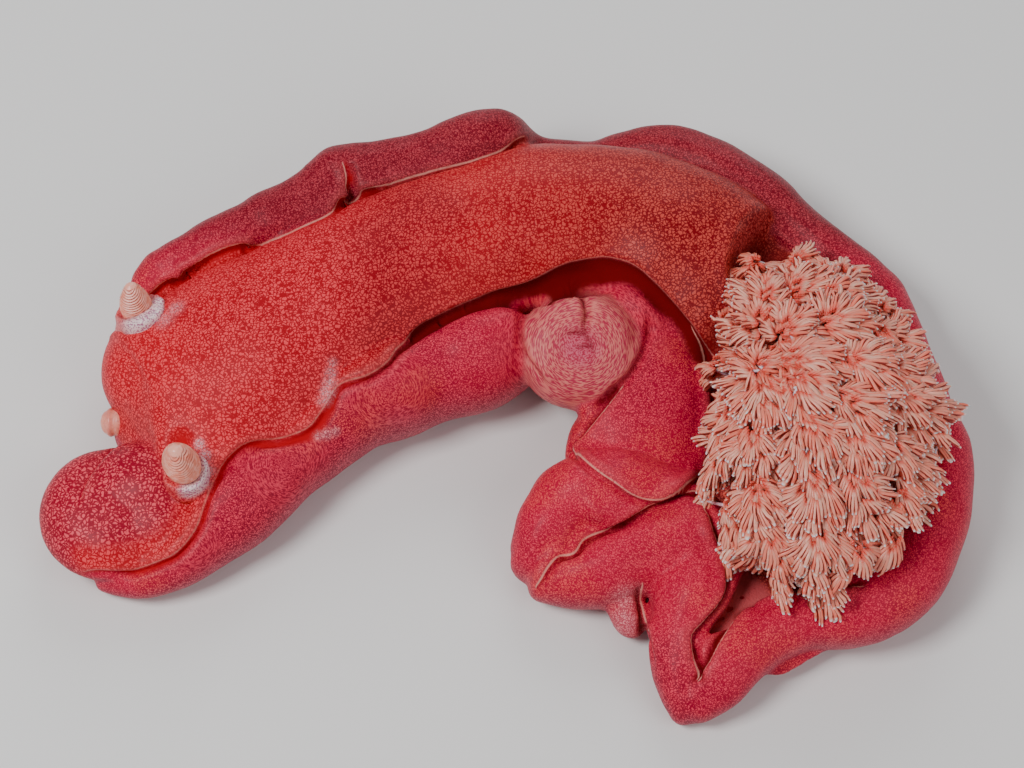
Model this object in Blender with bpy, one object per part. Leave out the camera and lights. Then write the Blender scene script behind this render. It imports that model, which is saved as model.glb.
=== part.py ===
"""Spanish dancer nudibranch at rest: a life-size, still model of the whole animal.

Row frame: +Z up, the head towards -X, the gills towards +X, the belly on the floor at Z = 0.
"""

import math
import random

import bmesh
import bpy
from mathutils import Matrix, Vector

MM = 0.001
GAP = 0.3  # clearance between touching nodes, mm
SEED = 12

# Places are plan positions in mm; heights are above the floor.
FOOT_THICK = 5.0
FOOT_SHARE = 0.66  # foot half-width over the trunk's half-width
SIDE_SHARE = 0.42  # height of the trunk's widest line over its crest height
CREST_POWER = 0.85  # below 1 the back is fuller than an ellipse
UNDERSIDE_POWER = 1.2  # how late the flank draws in towards the foot

# Trunk stations: x, y, half-width, crest height.
TRUNK = [
    (-104, -15, 13, 16),
    (-98, -14, 25, 24),
    (-90, -11, 31, 31),
    (-71, 6, 29, 37),
    (-49, 20, 26, 40),
    (-25, 34, 25, 42),
    (2, 44, 25, 43),
    (27, 45, 25, 42),
    (47, 37, 25, 42),
    (62, 22, 25, 37),
    (72, 4, 28, 25),
    (79, -20, 32, 19),
    (79, -43, 30, 16),
    (73, -58, 19, 12),
    (62, -70, 14, 8),
]
# Trunk nodes by the stretch of stations that each one covers.
TRUNK_NODES = [
    ("head", 0.0, 2.45),
    ("body_front", 2.45, 5.0),
    ("body_middle", 5.0, 8.0),
    ("body_rear", 8.0, 11.7),
    ("tail", 11.7, 14.0),
]
FOOT_NODES = [("foot_front", 0.8, 7.0), ("foot_rear", 7.0, 14.0)]

# Front corner of the mantle, a rounded flap beside the head: centre, radii and yaw.
FRONT_FLAP = {"centre": (-105, -37, 11), "radii": (19.5, 19, 10.5), "yaw": 20}

# Rolled mantle edge on the far side: x, y, z, radius across, radius up, root reach.
ROLL_RIGHT = [
    (-108, 15, 12, 5, 6, 0.4),
    (-104, 27, 17, 6, 7, 0.7),
    (-94, 33, 22, 6.5, 7, 0.9),
    (-81, 39, 24, 7, 7.5, 0.9),
    (-67, 46, 26, 7, 8, 0.9),
    (-54, 53, 27, 7.5, 8, 0.8),
    (-48, 59, 28, 8, 9, 0.8),
    (-38, 60, 29, 7.5, 8, 0.7),
    (-23, 64, 30, 7, 8, 0.6),
    (-9, 69.5, 32, 7.5, 8, 0.5),
    (0, 72, 28, 6.5, 8, 0.5),
    (9, 73, 15, 6, 9, 0.5),
    (24, 73, 12, 7, 10, 0.4),
    (40, 74, 14, 8, 12, 0.5),
    (56, 68, 15, 9, 13, 0.5),
    (73, 54, 15, 9, 13, 0.5),
    (88, 39, 14, 8, 12, 0.5),
    (99, 27, 14, 9, 12, 0.4),
    (105, 10, 14, 8, 12, 0.4),
    (110, -8, 14, 8, 12, 0.4),
    (113, -26, 14, 9, 13, 0.4),
    (109, -44, 13, 9, 12, 0.4),
    (101, -59, 13, 9, 12, 0.4),
    (88, -66, 13, 9, 12, 0.3),
    (75, -68, 12, 8, 11, 0.3),
    (62, -75, 11, 8, 10, 0.2),
    (52, -84, 9, 8, 9, 0.1),
    (46, -90, 7, 5, 6, 0.0),
]
RIGHT_NODES = [
    ("mantle_right_front", 0.0, 5.0),
    ("mantle_right_middle", 5.0, 11.0),
    ("mantle_right_rear", 11.0, 16.5),
    ("mantle_tail_right", 16.5, 22.0),
    ("mantle_tail_left", 22.0, 27.0),
]

# Rolled mantle edge on the near side, from the head back to the coil.
ROLL_LEFT = [
    (-107, -53, 5, 4, 5, 0.0),
    (-97, -53, 7, 6, 7, 0.2),
    (-86, -49, 10, 8, 10, 0.4),
    (-75, -39, 12, 10, 12, 0.5),
    (-64, -27, 13, 11, 13, 0.4),
    (-51, -16, 13, 9, 13, 0.4),
    (-40, -7, 16, 11, 16, 0.3),
    (-25, 0, 16, 11, 15, 0.3),
    (-11, 5, 17, 12.5, 16, 0.3),
    (-2, 9.5, 17, 11, 15, 0.3),
]
LEFT_NODES = [
    ("mantle_left_front", 0.0, 4.5),
    ("mantle_left_middle", 4.5, 9.0),
]

# The doubled fold past the flap, and the wall that runs on to the tail.
FOLD_UPPER = [
    (45, -36, 12, 9, 12, 0.0),
    (28, -33, 14, 11, 14, 0.0),
    (15, -36, 14, 11, 13, 0.0),
    (8, -45, 12, 8, 11, 0.0),
    (5, -52, 10, 6, 8, 0.0),
]
FOLD_LOWER = [
    (8, -55, 9, 6, 8, 0.0),
    (20, -56, 11, 8, 11, 0.0),
    (36, -50, 12, 10, 12, 0.0),
    (52, -46, 12, 12, 12, 0.0),
]
WALL_LEFT = [
    (52, -50, 11, 12, 11, 0.0),
    (47, -60, 11, 10, 11, 0.0),
    (43, -71, 10, 8, 10, 0.0),
    (42, -82, 8, 6, 8, 0.0),
    (44, -91, 6, 4, 6, 0.0),
]
COIL = {"centre": (18, 8, 22), "radii": (15.5, 15, 15), "tilt": 28}
COIL_BACK = {"centre": (34, 18, 20), "radii": (13, 9, 12), "yaw": -35}
FLAP = {"centre": (35.5, -8, 16.5), "radii": (18, 28, 9), "tilt": 12}
POCKET = {"centre": (23, -20, 10), "radii": (9, 15, 9.5)}
TAB = {"centre": (30, -63, 6), "radii": (5, 8, 5.5), "yaw": 15}

# Rhinophores: the middle of the base, the way that the club points, and the sheath's height.
RHINOPHORES = {
    "left": {"base": (-84, -32, 22.5), "axis": (-0.10, -0.08, 1.0), "sheath": 3.0},
    "right": {"base": (-97, 12, 21.5), "axis": (-0.16, 0.25, 1.0), "sheath": 4.0},
}
CLUB_LENGTH = 18.0
CLUB_RADIUS = 5.2
SHEATH_RADIUS = 7.0

# Oral tentacles under the front of the head: root, tip and radius.
ORAL_TENTACLES = {
    "left": ((-98, -22, 9), (-110, -23, 6), 4.2),
    "right": ((-97, -9, 10), (-109, -9, 9), 4.4),
}

# Gills: each fills a sector round the vent. Heading in plan, reach and height.
GILL_CENTRE = Vector((80, -22, 0))
GILL_RING = 10.0
GILL_FOOT_HEIGHT = 12.0
CROWN_REACH, CROWN_RISE = 0.42, 0.78  # where a stem ends, as shares of reach and height
ELBOW_RISE = 0.72  # where a stem bends outwards, as a share of the height
FORK_SHARE = 0.72  # where the arms leave the stem
KNEE_LIFT = 5.0  # how far an arm arches up
GILLS = [
    ("gill_1", 96, 51, 38),
    ("gill_2", 38, 36, 40),
    ("gill_3", -16, 30, 39),
    ("gill_4", -68, 47, 35),
    ("gill_5", -122, 47, 35),
    ("gill_6", 173, 28, 40),
]
SECTOR_HALF_ANGLE = 28.0
STEM_RADII = [3.8, 3.6, 3.3, 3.0, 2.0]
ARM_RADII = [2.0, 1.9, 1.5, 0.8]
# Arms of a gill: turn from its heading, share of its reach, share of its height.
ARMS = [
    (-22, 0.80, 0.80),
    (-8, 0.86, 0.94),
    (7, 0.84, 0.90),
    (22, 0.78, 0.80),
    (-14, 0.50, 1.08),
    (13, 0.46, 1.12),
    (0, 0.22, 1.16),
]
LEAFLETS_PER_ARM = 4
LEAFLET_START = 0.42  # share of the arm that is bare
LEAFLET_LENGTH = 10.5
LEAFLET_WIDTH = 1.9  # half the width at its widest
LEAFLET_THICK = 0.8

COLOURS = {
    "body": ((0.62, 0.03, 0.05, 1.0), 0.35),
    "mantle": ((0.66, 0.08, 0.14, 1.0), 0.35),
    "foot": ((0.60, 0.10, 0.12, 1.0), 0.45),
    "rhinophore": ((0.86, 0.45, 0.32, 1.0), 0.35),
    "sheath": ((0.80, 0.66, 0.78, 1.0), 0.35),
    "gill": ((0.88, 0.50, 0.42, 1.0), 0.35),
}


def clear_scene():
    for obj in list(bpy.data.objects):
        bpy.data.objects.remove(obj, do_unlink=True)


def collection(name):
    made = bpy.data.collections.new(name)
    bpy.context.scene.collection.children.link(made)
    return made


def material(name):
    found = bpy.data.materials.get(name)
    if found:
        return found
    colour, roughness = COLOURS[name]
    made = bpy.data.materials.new(name)
    made.use_nodes = True
    shader = made.node_tree.nodes["Principled BSDF"]
    shader.inputs["Base Color"].default_value = colour
    shader.inputs["Roughness"].default_value = roughness
    shader.inputs["Metallic"].default_value = 0.0
    return made


def point_at(stations, t):
    """The point of a Catmull-Rom curve at t, counted in stations."""
    last = len(stations) - 1
    k = max(0, min(int(t), last - 1))
    u = t - k
    p0, p1, p2, p3 = (stations[min(max(k + j, 0), last)] for j in (-1, 0, 1, 2))
    return [
        0.5 * (2 * b + (c - a) * u + (2 * a - 5 * b + 4 * c - d) * u * u
               + (3 * b - a - 3 * c + d) * u ** 3)
        for a, b, c, d in zip(p0, p1, p2, p3)
    ]


def heading(stations, t, reach=0.35):
    """The unit direction of the path in plan at t."""
    last = len(stations) - 1
    before = point_at(stations, max(t - reach, 0))
    after = point_at(stations, min(t + reach, last))
    return Vector((after[0] - before[0], after[1] - before[1], 0)).normalized()


def loft(rings):
    """A closed mesh through rings of equal length, its ends closed by a fan."""
    bm = bmesh.new()
    loops = [[bm.verts.new(Vector(p) * MM) for p in ring] for ring in rings]
    count = len(loops[0])
    for first, second in zip(loops, loops[1:]):
        for i in range(count):
            j = (i + 1) % count
            bm.faces.new((first[i], first[j], second[j], second[i]))
    for loop in (loops[0], loops[-1]):
        middle = bm.verts.new(sum((v.co for v in loop), Vector()) / count)
        for i in range(count):
            bm.faces.new((loop[i], loop[(i + 1) % count], middle))
    bmesh.ops.recalc_face_normals(bm, faces=bm.faces)
    bmesh.ops.triangulate(bm, faces=bm.faces)
    return bm


def node(name, bm, look, home):
    """A named object from a bmesh, in its collection and with its material."""
    mesh = bpy.data.meshes.new(name)
    bm.to_mesh(mesh)
    bm.free()
    obj = bpy.data.objects.new(name, mesh)
    home.objects.link(obj)
    mesh.materials.append(material(look))
    return obj


def apply_modifiers(obj):
    graph = bpy.context.evaluated_depsgraph_get()
    graph.update()
    made = bpy.data.meshes.new_from_object(obj.evaluated_get(graph))
    obj.modifiers.clear()
    old = obj.data
    obj.data = made
    bpy.data.meshes.remove(old)


def pieces_of(bm):
    """The connected groups of faces, as sets of vertices."""
    left = set(bm.verts)
    groups = []
    while left:
        todo = [left.pop()]
        group = set(todo)
        while todo:
            for edge in todo.pop().link_edges:
                for vert in edge.verts:
                    if vert not in group:
                        group.add(vert)
                        left.discard(vert)
                        todo.append(vert)
        groups.append(group)
    return groups


def keep_largest(obj):
    """Keeps the closed surface that holds the most."""
    bm = bmesh.new()
    bm.from_mesh(obj.data)
    groups = pieces_of(bm)
    if len(groups) > 1:
        def volume(group):
            faces = {f for v in group for f in v.link_faces}
            return sum(
                f.calc_center_median().dot(f.normal) * f.calc_area() / 3 for f in faces
            )
        keep = max(groups, key=volume)
        bmesh.ops.delete(bm, geom=[v for v in bm.verts if v not in keep], context="VERTS")
        bm.to_mesh(obj.data)
    bm.free()


def boolean(obj, others, operation):
    """Joins or cuts by every object of a list at once, and applies it."""
    group = collection("operands")
    for other in others:
        group.objects.link(other)
    modifier = obj.modifiers.new(operation.lower(), "BOOLEAN")
    modifier.operation = operation
    modifier.operand_type = "COLLECTION"
    modifier.collection = group
    modifier.solver = "MANIFOLD"
    apply_modifiers(obj)
    for other in others:
        bpy.data.objects.remove(other, do_unlink=True)
    bpy.data.collections.remove(group)


def fattened(obj, by):
    """A copy of a node, grown by a distance along its normals, as a cutter."""
    bm = bmesh.new()
    bm.from_mesh(obj.data)
    bm.normal_update()
    moves = [(v, v.normal * by * MM) for v in bm.verts]
    for vert, move in moves:
        vert.co += move
    mesh = bpy.data.meshes.new("cutter")
    bm.to_mesh(mesh)
    bm.free()
    return bpy.data.objects.new("cutter", mesh)


def near(first, second):
    """Whether the boxes of two nodes come within reach of each other."""
    def box(obj):
        points = [v.co for v in obj.data.vertices]
        return [(min(p[k] for p in points), max(p[k] for p in points)) for k in range(3)]

    slack = 2 * GAP * MM
    return all(a[0] < b[1] + slack and b[0] < a[1] + slack
               for a, b in zip(box(first), box(second)))


def cut_clear(obj, others, by=GAP * 1.2):
    for other in others:
        boolean(obj, [fattened(other, by)], "DIFFERENCE")
    keep_largest(obj)


def trunk_ring(x, y, half, crest, along, points=24):
    """Cross-section of the trunk: a domed back over a narrower, flat underside."""
    side = Vector((-along.y, along.x, 0))
    low = FOOT_THICK + GAP
    widest = max(SIDE_SHARE * crest, low + 1.5)
    ring = []
    for i in range(points):
        angle = 2 * math.pi * i / points
        across, up = math.cos(angle), math.sin(angle)
        if up >= 0:
            reach = half * across
            height = widest + (crest - widest) * up ** CREST_POWER
        else:
            reach = half * across * (1 - (1 - FOOT_SHARE) * (-up) ** UNDERSIDE_POWER)
            height = widest - (widest - low) * min(1.0, (-up) ** 0.8 * 1.15)
        ring.append(Vector((x, y, height)) + side * reach)
    return ring


def foot_ring(x, y, half, along, points=12):
    side = Vector((-along.y, along.x, 0))
    ring = []
    for i in range(points):
        angle = 2 * math.pi * (i + 0.5) / points
        reach = half * math.copysign(abs(math.cos(angle)) ** 0.5, math.cos(angle))
        height = FOOT_THICK * (0.5 + 0.5 * math.copysign(
            min(1.0, abs(math.sin(angle)) * 1.5), math.sin(angle)))
        ring.append(Vector((x, y, height)) + side * reach)
    return ring


def bump(angle, centre, width):
    """A smooth bump of height 1 round an angle in degrees."""
    off = (angle - centre + 180) % 360 - 180
    return math.exp(-((off / width) ** 2))


LIP = (146, 17, 0.22)  # angle, width and size of the free edge of a roll
NOTCH = (182, 16, 0.26)  # the undercut below the free edge
ROOT = (222, 30)  # where the roll grows from the body


def roll_ring(x, y, z, across, up, root, along, hand=1, points=14):
    """Cross-section of a rolled edge: a fat comma whose free edge leans inwards.

    hand is 1 where the outer side lies left of the path's heading, or else -1.
    """
    out = Vector((-along.y, along.x, 0)) * hand
    ring = []
    for i in range(points):
        angle = 360 * i / points
        size = (1 + LIP[2] * bump(angle, LIP[0], LIP[1])
                - NOTCH[2] * bump(angle, NOTCH[0], NOTCH[1])
                + root * bump(angle, ROOT[0], ROOT[1]))
        turn = math.radians(angle)
        point = Vector((x, y, z)) + out * across * size * math.cos(turn)
        point.z = max(0.0, point.z + up * size * math.sin(turn))
        ring.append(point)
    return ring


def rounded_ends(rings, shares=(0.45, 0.8)):
    """Adds shrunken rings at both ends, so that a loft closes in a dome."""
    def shrunk(ring, beyond, share):
        middle = sum(ring, Vector()) / len(ring)
        ahead = sum(beyond, Vector()) / len(beyond)
        size = max((p - middle).length for p in ring)
        step = (middle - ahead).normalized() * size * 0.5 * math.sqrt(1 - share ** 2)
        return [middle + (p - middle) * share + step for p in ring]

    start = [shrunk(rings[0], rings[1], s) for s in shares]
    end = [shrunk(rings[-1], rings[-2], s) for s in reversed(shares)]
    return start, end


def stretch(stations, start, end, per_station, ring_of, gap_share, round_start, round_end):
    """Rings along part of a path, pulled in at a cut end by half the gap."""
    count = max(3, round((end - start) * per_station) + 1)
    step = (end - start) / (count - 1)
    rings = []
    for i in range(count):
        t = start + step * i
        along = heading(stations, t)
        if i == 0 and not round_start:
            t += gap_share
        if i == count - 1 and not round_end:
            t -= gap_share
        rings.append(ring_of(*point_at(stations, t), along))
    before, after = rounded_ends(rings)
    if round_start:
        rings = before + rings
    if round_end:
        rings = rings + after
    for ring in rings:
        for point in ring:
            point.z = max(0.0, point.z)
    return rings


def path_nodes(stations, plan, per_station, ring_of, look, home):
    """One node for each named stretch of a path."""
    made = []
    for name, start, end in plan:
        cut = min(end, len(stations) - 1.01)
        pace = Vector(point_at(stations, cut + 0.01)[:2]) - Vector(point_at(stations, cut)[:2])
        gap_share = GAP / 2 / (pace.length * 100)
        rings = stretch(stations, start, end, per_station, ring_of, gap_share,
                        start == plan[0][1], end == plan[-1][2])
        made.append(node(name, loft(rings), look, home))
    return made


def tube(points, radii, sides=6, flat=1.0):
    """A tapered rod through points; flat thins it from top to bottom."""
    rings = []
    for i, (point, radius) in enumerate(zip(points, radii)):
        along = (points[min(i + 1, len(points) - 1)] - points[max(i - 1, 0)]).normalized()
        across = along.cross(Vector((0, 0, 1)))
        if across.length < 1e-3:
            across = along.cross(Vector((1, 0, 0)))
        across.normalize()
        up = across.cross(along).normalized()
        rings.append(
            [
                point + across * radius * math.cos(2 * math.pi * k / sides)
                + up * radius * flat * math.sin(2 * math.pi * k / sides)
                for k in range(sides)
            ]
        )
    return loft(rings)


def bent(start, bend, end, count):
    """Points of a parabola from start to end that leans towards bend."""
    points = []
    for i in range(count):
        t = i / (count - 1)
        points.append(start * (1 - t) ** 2 + bend * 2 * t * (1 - t) + end * t * t)
    return points


def plain_mesh(bm):
    """An unnamed object from a bmesh, for a Boolean."""
    mesh = bpy.data.meshes.new("piece")
    bm.to_mesh(mesh)
    bm.free()
    return bpy.data.objects.new("piece", mesh)


def heading_vector(degrees):
    return Vector((math.cos(math.radians(degrees)), math.sin(math.radians(degrees)), 0))


def gill(name, turn, reach, height, home, draw):
    """One branched plume: a stem, arms that fan out, and leaflets along each arm."""
    ahead = heading_vector(turn)
    foot = GILL_CENTRE + ahead * GILL_RING + Vector((0, 0, GILL_FOOT_HEIGHT))
    crown = GILL_CENTRE + ahead * reach * CROWN_REACH + Vector((0, 0, height * CROWN_RISE))
    elbow = GILL_CENTRE + ahead * GILL_RING + Vector((0, 0, height * ELBOW_RISE))
    fork = elbow.lerp(crown, FORK_SHARE)
    made = node(name, tube(bent(foot, elbow, crown, len(STEM_RADII)), STEM_RADII, 6), "gill", home)
    pieces = []
    for off, out, rise in ARMS:
        tip = GILL_CENTRE + heading_vector(turn + off) * reach * out + Vector((0, 0, height * rise))
        knee = fork.lerp(tip, 0.45) + Vector((0, 0, KNEE_LIFT))
        line = bent(fork, knee, tip, len(ARM_RADII))
        pieces.append(plain_mesh(tube(line, ARM_RADII, 4)))
        for root, way, length in leaflet_places(line, turn, draw):
            pieces.append(plain_mesh(leaflet(root, way, length)))
    boolean(made, pieces, "UNION")
    keep_largest(made)
    return made


def in_sector(point, turn, margin=0.8):
    """Whether a point keeps to a gill's own sector, by a margin in mm."""
    off = point - GILL_CENTRE
    ahead = heading_vector(turn)
    forward = off.x * ahead.x + off.y * ahead.y
    aside = abs(off.x * ahead.y - off.y * ahead.x)
    return aside + margin < forward * math.tan(math.radians(SECTOR_HALF_ANGLE))


def leaflet_places(line, turn, draw):
    """Root, way and length of the leaflets along an arm, left and right in turn."""
    places = []
    for i in range(LEAFLETS_PER_ARM):
        share = LEAFLET_START + (1 - LEAFLET_START) * i / (LEAFLETS_PER_ARM - 1)
        place = share * (len(line) - 1)
        k = min(int(place), len(line) - 2)
        root = line[k].lerp(line[k + 1], place - k)
        along = (line[k + 1] - line[k]).normalized()
        aside = along.cross(Vector((0, 0, 1))).normalized()
        hand = 1 if i % 2 else -1
        last = i == LEAFLETS_PER_ARM - 1
        spread = 0.1 if last else draw.uniform(0.8, 1.4)
        lift = Vector((0, 0, 0.0 if last else draw.uniform(0.1, 0.9)))
        length = LEAFLET_LENGTH * draw.uniform(0.8, 1.15)
        for side in (hand, -hand, 0):
            way = (along * 0.8 + aside * side * spread + lift).normalized()
            if in_sector(root + way * length, turn):
                places.append((root, way, length))
                break
    return places


def leaflet(root, way, length):
    """A flat filament, widest at mid-length, with a pointed tip."""
    broad = way.cross(Vector((0, 0, 1))).normalized()
    flat = broad.cross(way).normalized()
    bm = bmesh.new()
    rings = []
    for share, size, sag in ((0.0, 0.7, 0.0), (0.5, 1.0, 0.06)):
        middle = root + way * length * share + flat * length * sag
        rings.append(
            [
                bm.verts.new((middle + broad * x * LEAFLET_WIDTH * size
                              + flat * y * LEAFLET_THICK) * MM)
                for x, y in ((1, -0.4), (0, 0.6), (-1, -0.4))
            ]
        )
    tip = bm.verts.new((root + way * length) * MM)
    for i in range(3):
        j = (i + 1) % 3
        bm.faces.new((rings[0][i], rings[0][j], rings[1][j], rings[1][i]))
        bm.faces.new((rings[1][i], rings[1][j], tip))
    bm.faces.new(rings[0])
    bmesh.ops.recalc_face_normals(bm, faces=bm.faces)
    bmesh.ops.triangulate(bm, faces=bm.faces)
    return bm


def turned_profile(profile, base, axis, segments=14):
    """A closed turned form from (radius, height) pairs that start and end near the axis."""
    rise = Vector(axis).normalized()
    turn = rise.to_track_quat("Z", "Y").to_matrix()
    rings = []
    for radius, height in profile:
        rings.append(
            [
                Vector(base) + turn @ Vector((radius * math.cos(2 * math.pi * k / segments),
                                              radius * math.sin(2 * math.pi * k / segments),
                                              height))
                for k in range(segments)
            ]
        )
    return loft(rings)


def rhinophore(side, home):
    """The club with its stalk, and the raised sheath round its foot."""
    base, axis = RHINOPHORES[side]["base"], RHINOPHORES[side]["axis"]
    height = RHINOPHORES[side]["sheath"]
    club = [
        (2.6, 0.0), (2.8, 4.0), (3.2, 6.0), (CLUB_RADIUS, 8.0), (CLUB_RADIUS * 1.02, 10.0),
        (CLUB_RADIUS * 0.86, 13.0), (CLUB_RADIUS * 0.6, 16.0), (CLUB_RADIUS * 0.3, CLUB_LENGTH),
        (0.4, CLUB_LENGTH + 0.6),
    ]
    wall = SHEATH_RADIUS
    cup = [
        (wall * 0.6, 0.0), (wall * 1.08, 1.0), (wall, height * 0.7), (wall * 0.92, height + 2.4),
        (wall * 0.82, height + 2.8), (wall * 0.72, height + 2.2), (wall * 0.66, height + 0.4),
        (3.6, 3.4), (0.6, 3.0),
    ]
    sheath = node("rhinophore_sheath_" + side, turned_profile(cup, base, axis), "sheath", home)
    stalk = node("rhinophore_" + side, turned_profile(club, base, axis), "rhinophore", home)
    return stalk, sheath


def oral_tentacle(side, home):
    root, tip, size = ORAL_TENTACLES[side]
    knee = Vector(root).lerp(Vector(tip), 0.5)
    line = bent(Vector(root), knee, Vector(tip), 5)
    return node("oral_tentacle_" + side,
                tube(line, [size * 0.9, size, size, size * 0.85, size * 0.45], 10, 0.7),
                "rhinophore", home)


def ellipsoid(centre, radii, yaw=0.0, tilt=0.0, segments=16, rings=9):
    """A rounded mass of flesh; tilt turns it about X and yaw about Z."""
    bm = bmesh.new()
    bmesh.ops.create_uvsphere(bm, u_segments=segments, v_segments=rings, radius=1.0)
    turn = Matrix.Rotation(math.radians(yaw), 4, "Z") @ Matrix.Rotation(math.radians(tilt), 4, "X")
    for vert in bm.verts:
        point = Vector(c * r for c, r in zip(vert.co, radii))
        point = turn @ point + Vector(centre)
        point.z = max(0.0, point.z)
        vert.co = point * MM
    bmesh.ops.triangulate(bm, faces=bm.faces)
    return bm


def left_ring(*station):
    return roll_ring(*station, hand=-1)


def centre_on_floor(nodes):
    """Moves everything so that the origin is on the floor under the middle of the whole."""
    points = [v.co for obj in nodes for v in obj.data.vertices]
    low = Vector(min(p[k] for p in points) for k in range(3))
    high = Vector(max(p[k] for p in points) for k in range(3))
    move = Vector(((low.x + high.x) / 2, (low.y + high.y) / 2, low.z))
    for obj in nodes:
        for vert in obj.data.vertices:
            vert.co -= move


def main():
    clear_scene()
    home = collection("spanish_dancer")
    draw = random.Random(SEED)
    trunk = path_nodes(TRUNK, TRUNK_NODES, 1.4, trunk_ring, "body", home)
    feet = path_nodes([(x, y, half * FOOT_SHARE, 0) for x, y, half, _ in TRUNK], FOOT_NODES, 1.2,
                      lambda x, y, half, _, along: foot_ring(x, y, half, along), "foot", home)
    settled = trunk + feet

    def settle(made):
        """Cuts a new node clear of those already in place."""
        cut_clear(made, [other for other in settled if near(made, other)])
        settled.append(made)
        return made

    settle(node("mantle_front", ellipsoid(**FRONT_FLAP), "body", home))
    for made in path_nodes(ROLL_RIGHT, RIGHT_NODES, 1.0, roll_ring, "mantle", home):
        settle(made)
    settle(node("mantle_left_coil", ellipsoid(**COIL), "mantle", home))
    for made in path_nodes(ROLL_LEFT, LEFT_NODES, 1.3, left_ring, "mantle", home):
        settle(made)
    coil_back = ellipsoid(**COIL_BACK, segments=14, rings=10)
    settle(node("mantle_left_coil_back", coil_back, "mantle", home))
    settle(node("mantle_left_flap", ellipsoid(**FLAP), "mantle", home))
    for stations, name in (
        (FOLD_LOWER, "mantle_left_fold_lower"),
        (FOLD_UPPER, "mantle_left_fold_upper"),
        (WALL_LEFT, "mantle_left_rear"),
    ):
        plan = [(name, 0, len(stations) - 1)]
        for made in path_nodes(stations, plan, 1.2, left_ring, "mantle", home):
            settle(made)
    settle(node("mantle_left_pocket", ellipsoid(**POCKET, segments=12, rings=8), "mantle", home))
    settle(node("mantle_left_tab", ellipsoid(**TAB, segments=12, rings=8), "mantle", home))
    for side in ("left", "right"):
        club, sheath = rhinophore(side, home)
        settle(sheath)
        settle(club)
        settle(oral_tentacle(side, home))
    for name, turn, reach, height in GILLS:
        settle(gill(name, turn, reach, height, home, draw))
    centre_on_floor(settled)


if __name__ == "__main__":
    main()
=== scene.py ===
"""A spanish dancer nudibranch at rest: one skin of wet, speckled flesh, with its gills and feelers.

Sizes are in millimetres in the animal's own plan, and become metres when a mesh is made.
The head is towards -X and the gills towards +X.
"""

import math
import random

import bmesh
import bpy
import numpy as np
from mathutils import Matrix, Vector, noise
from mathutils.bvhtree import BVHTree
from mathutils.kdtree import KDTree

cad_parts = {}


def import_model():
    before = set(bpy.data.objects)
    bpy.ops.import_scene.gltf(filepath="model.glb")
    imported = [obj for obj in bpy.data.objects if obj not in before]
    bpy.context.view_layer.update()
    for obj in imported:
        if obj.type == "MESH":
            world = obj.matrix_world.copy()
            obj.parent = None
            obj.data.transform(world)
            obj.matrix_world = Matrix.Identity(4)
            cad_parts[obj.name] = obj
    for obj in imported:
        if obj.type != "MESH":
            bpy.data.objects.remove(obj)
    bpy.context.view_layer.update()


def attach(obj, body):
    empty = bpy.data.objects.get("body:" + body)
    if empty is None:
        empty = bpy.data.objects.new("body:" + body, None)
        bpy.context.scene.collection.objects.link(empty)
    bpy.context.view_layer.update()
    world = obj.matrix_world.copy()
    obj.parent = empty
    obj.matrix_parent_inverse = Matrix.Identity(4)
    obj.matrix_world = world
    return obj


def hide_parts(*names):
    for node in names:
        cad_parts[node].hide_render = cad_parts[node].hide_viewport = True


MM = 0.001
MIDDLE = Vector((-1.162, -5.999, 0.0))  # the middle of the animal in its own plan

# Kinds of flesh, as the skin's pattern needs them.
DORSUM, ROLL, COILED, SHEET, LOBE, INNER, FOOT = range(7)

# The forms of the flesh.

# Trunk: x, y, half-width, crest height.
TRUNK = [
    (-100, -16, 12, 15), (-97, -14, 25, 24), (-90, -11, 31, 31), (-71, 6, 29, 37),
    (-49, 20, 26, 40), (-25, 34, 25, 42), (2, 44, 25, 43), (27, 45, 25, 42),
    (47, 37, 25, 42), (62, 22, 25, 37), (72, 4, 28, 25), (79, -20, 32, 19),
    (79, -43, 30, 16), (73, -58, 19, 12), (62, -70, 14, 8),
]
FOOT_SHARE = 0.66  # width of the foot over the trunk's
SIDE_SHARE = 0.42  # height of the trunk's widest place over its crest

# Rolled mantle edges and folds: x, y, z, radius across, radius up, root reach.
ROLL_RIGHT = [
    (-101, 24, 15, 4, 5, 0.4), (-99, 29, 19, 5.5, 6.5, 0.7), (-93, 33.5, 22, 6.5, 7, 0.9),
    (-81, 39, 24, 7, 7.5, 0.9), (-67, 46, 26, 7, 8, 0.9), (-54, 53, 27, 7.5, 8, 0.8),
    (-48, 59, 28, 8, 9, 0.8), (-38, 60, 29, 7.5, 8, 0.7), (-23, 64, 30, 7, 8, 0.6),
    (-9, 69.5, 32, 7.5, 8, 0.5), (0, 72, 28, 6.5, 8, 0.5), (9, 73, 15, 6, 9, 0.5),
    (24, 73, 12, 7, 10, 0.4), (40, 74, 14, 8, 12, 0.5), (56, 68, 15, 9, 13, 0.5),
    (73, 54, 15, 9, 13, 0.5), (88, 39, 14, 8, 12, 0.5), (99, 27, 14, 9, 12, 0.4),
    (105, 10, 14, 8, 12, 0.4), (110, -8, 14, 8, 12, 0.4), (113, -26, 14, 9, 13, 0.4),
    (109, -44, 13, 9, 12, 0.4), (101, -59, 13, 9, 12, 0.4), (88, -66, 13, 9, 12, 0.3),
    (75, -68, 12, 8, 11, 0.3), (62, -75, 11, 8, 10, 0.2), (52, -84, 9, 8, 9, 0.1),
    (46, -90, 7, 5, 6, 0.0),
]
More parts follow.
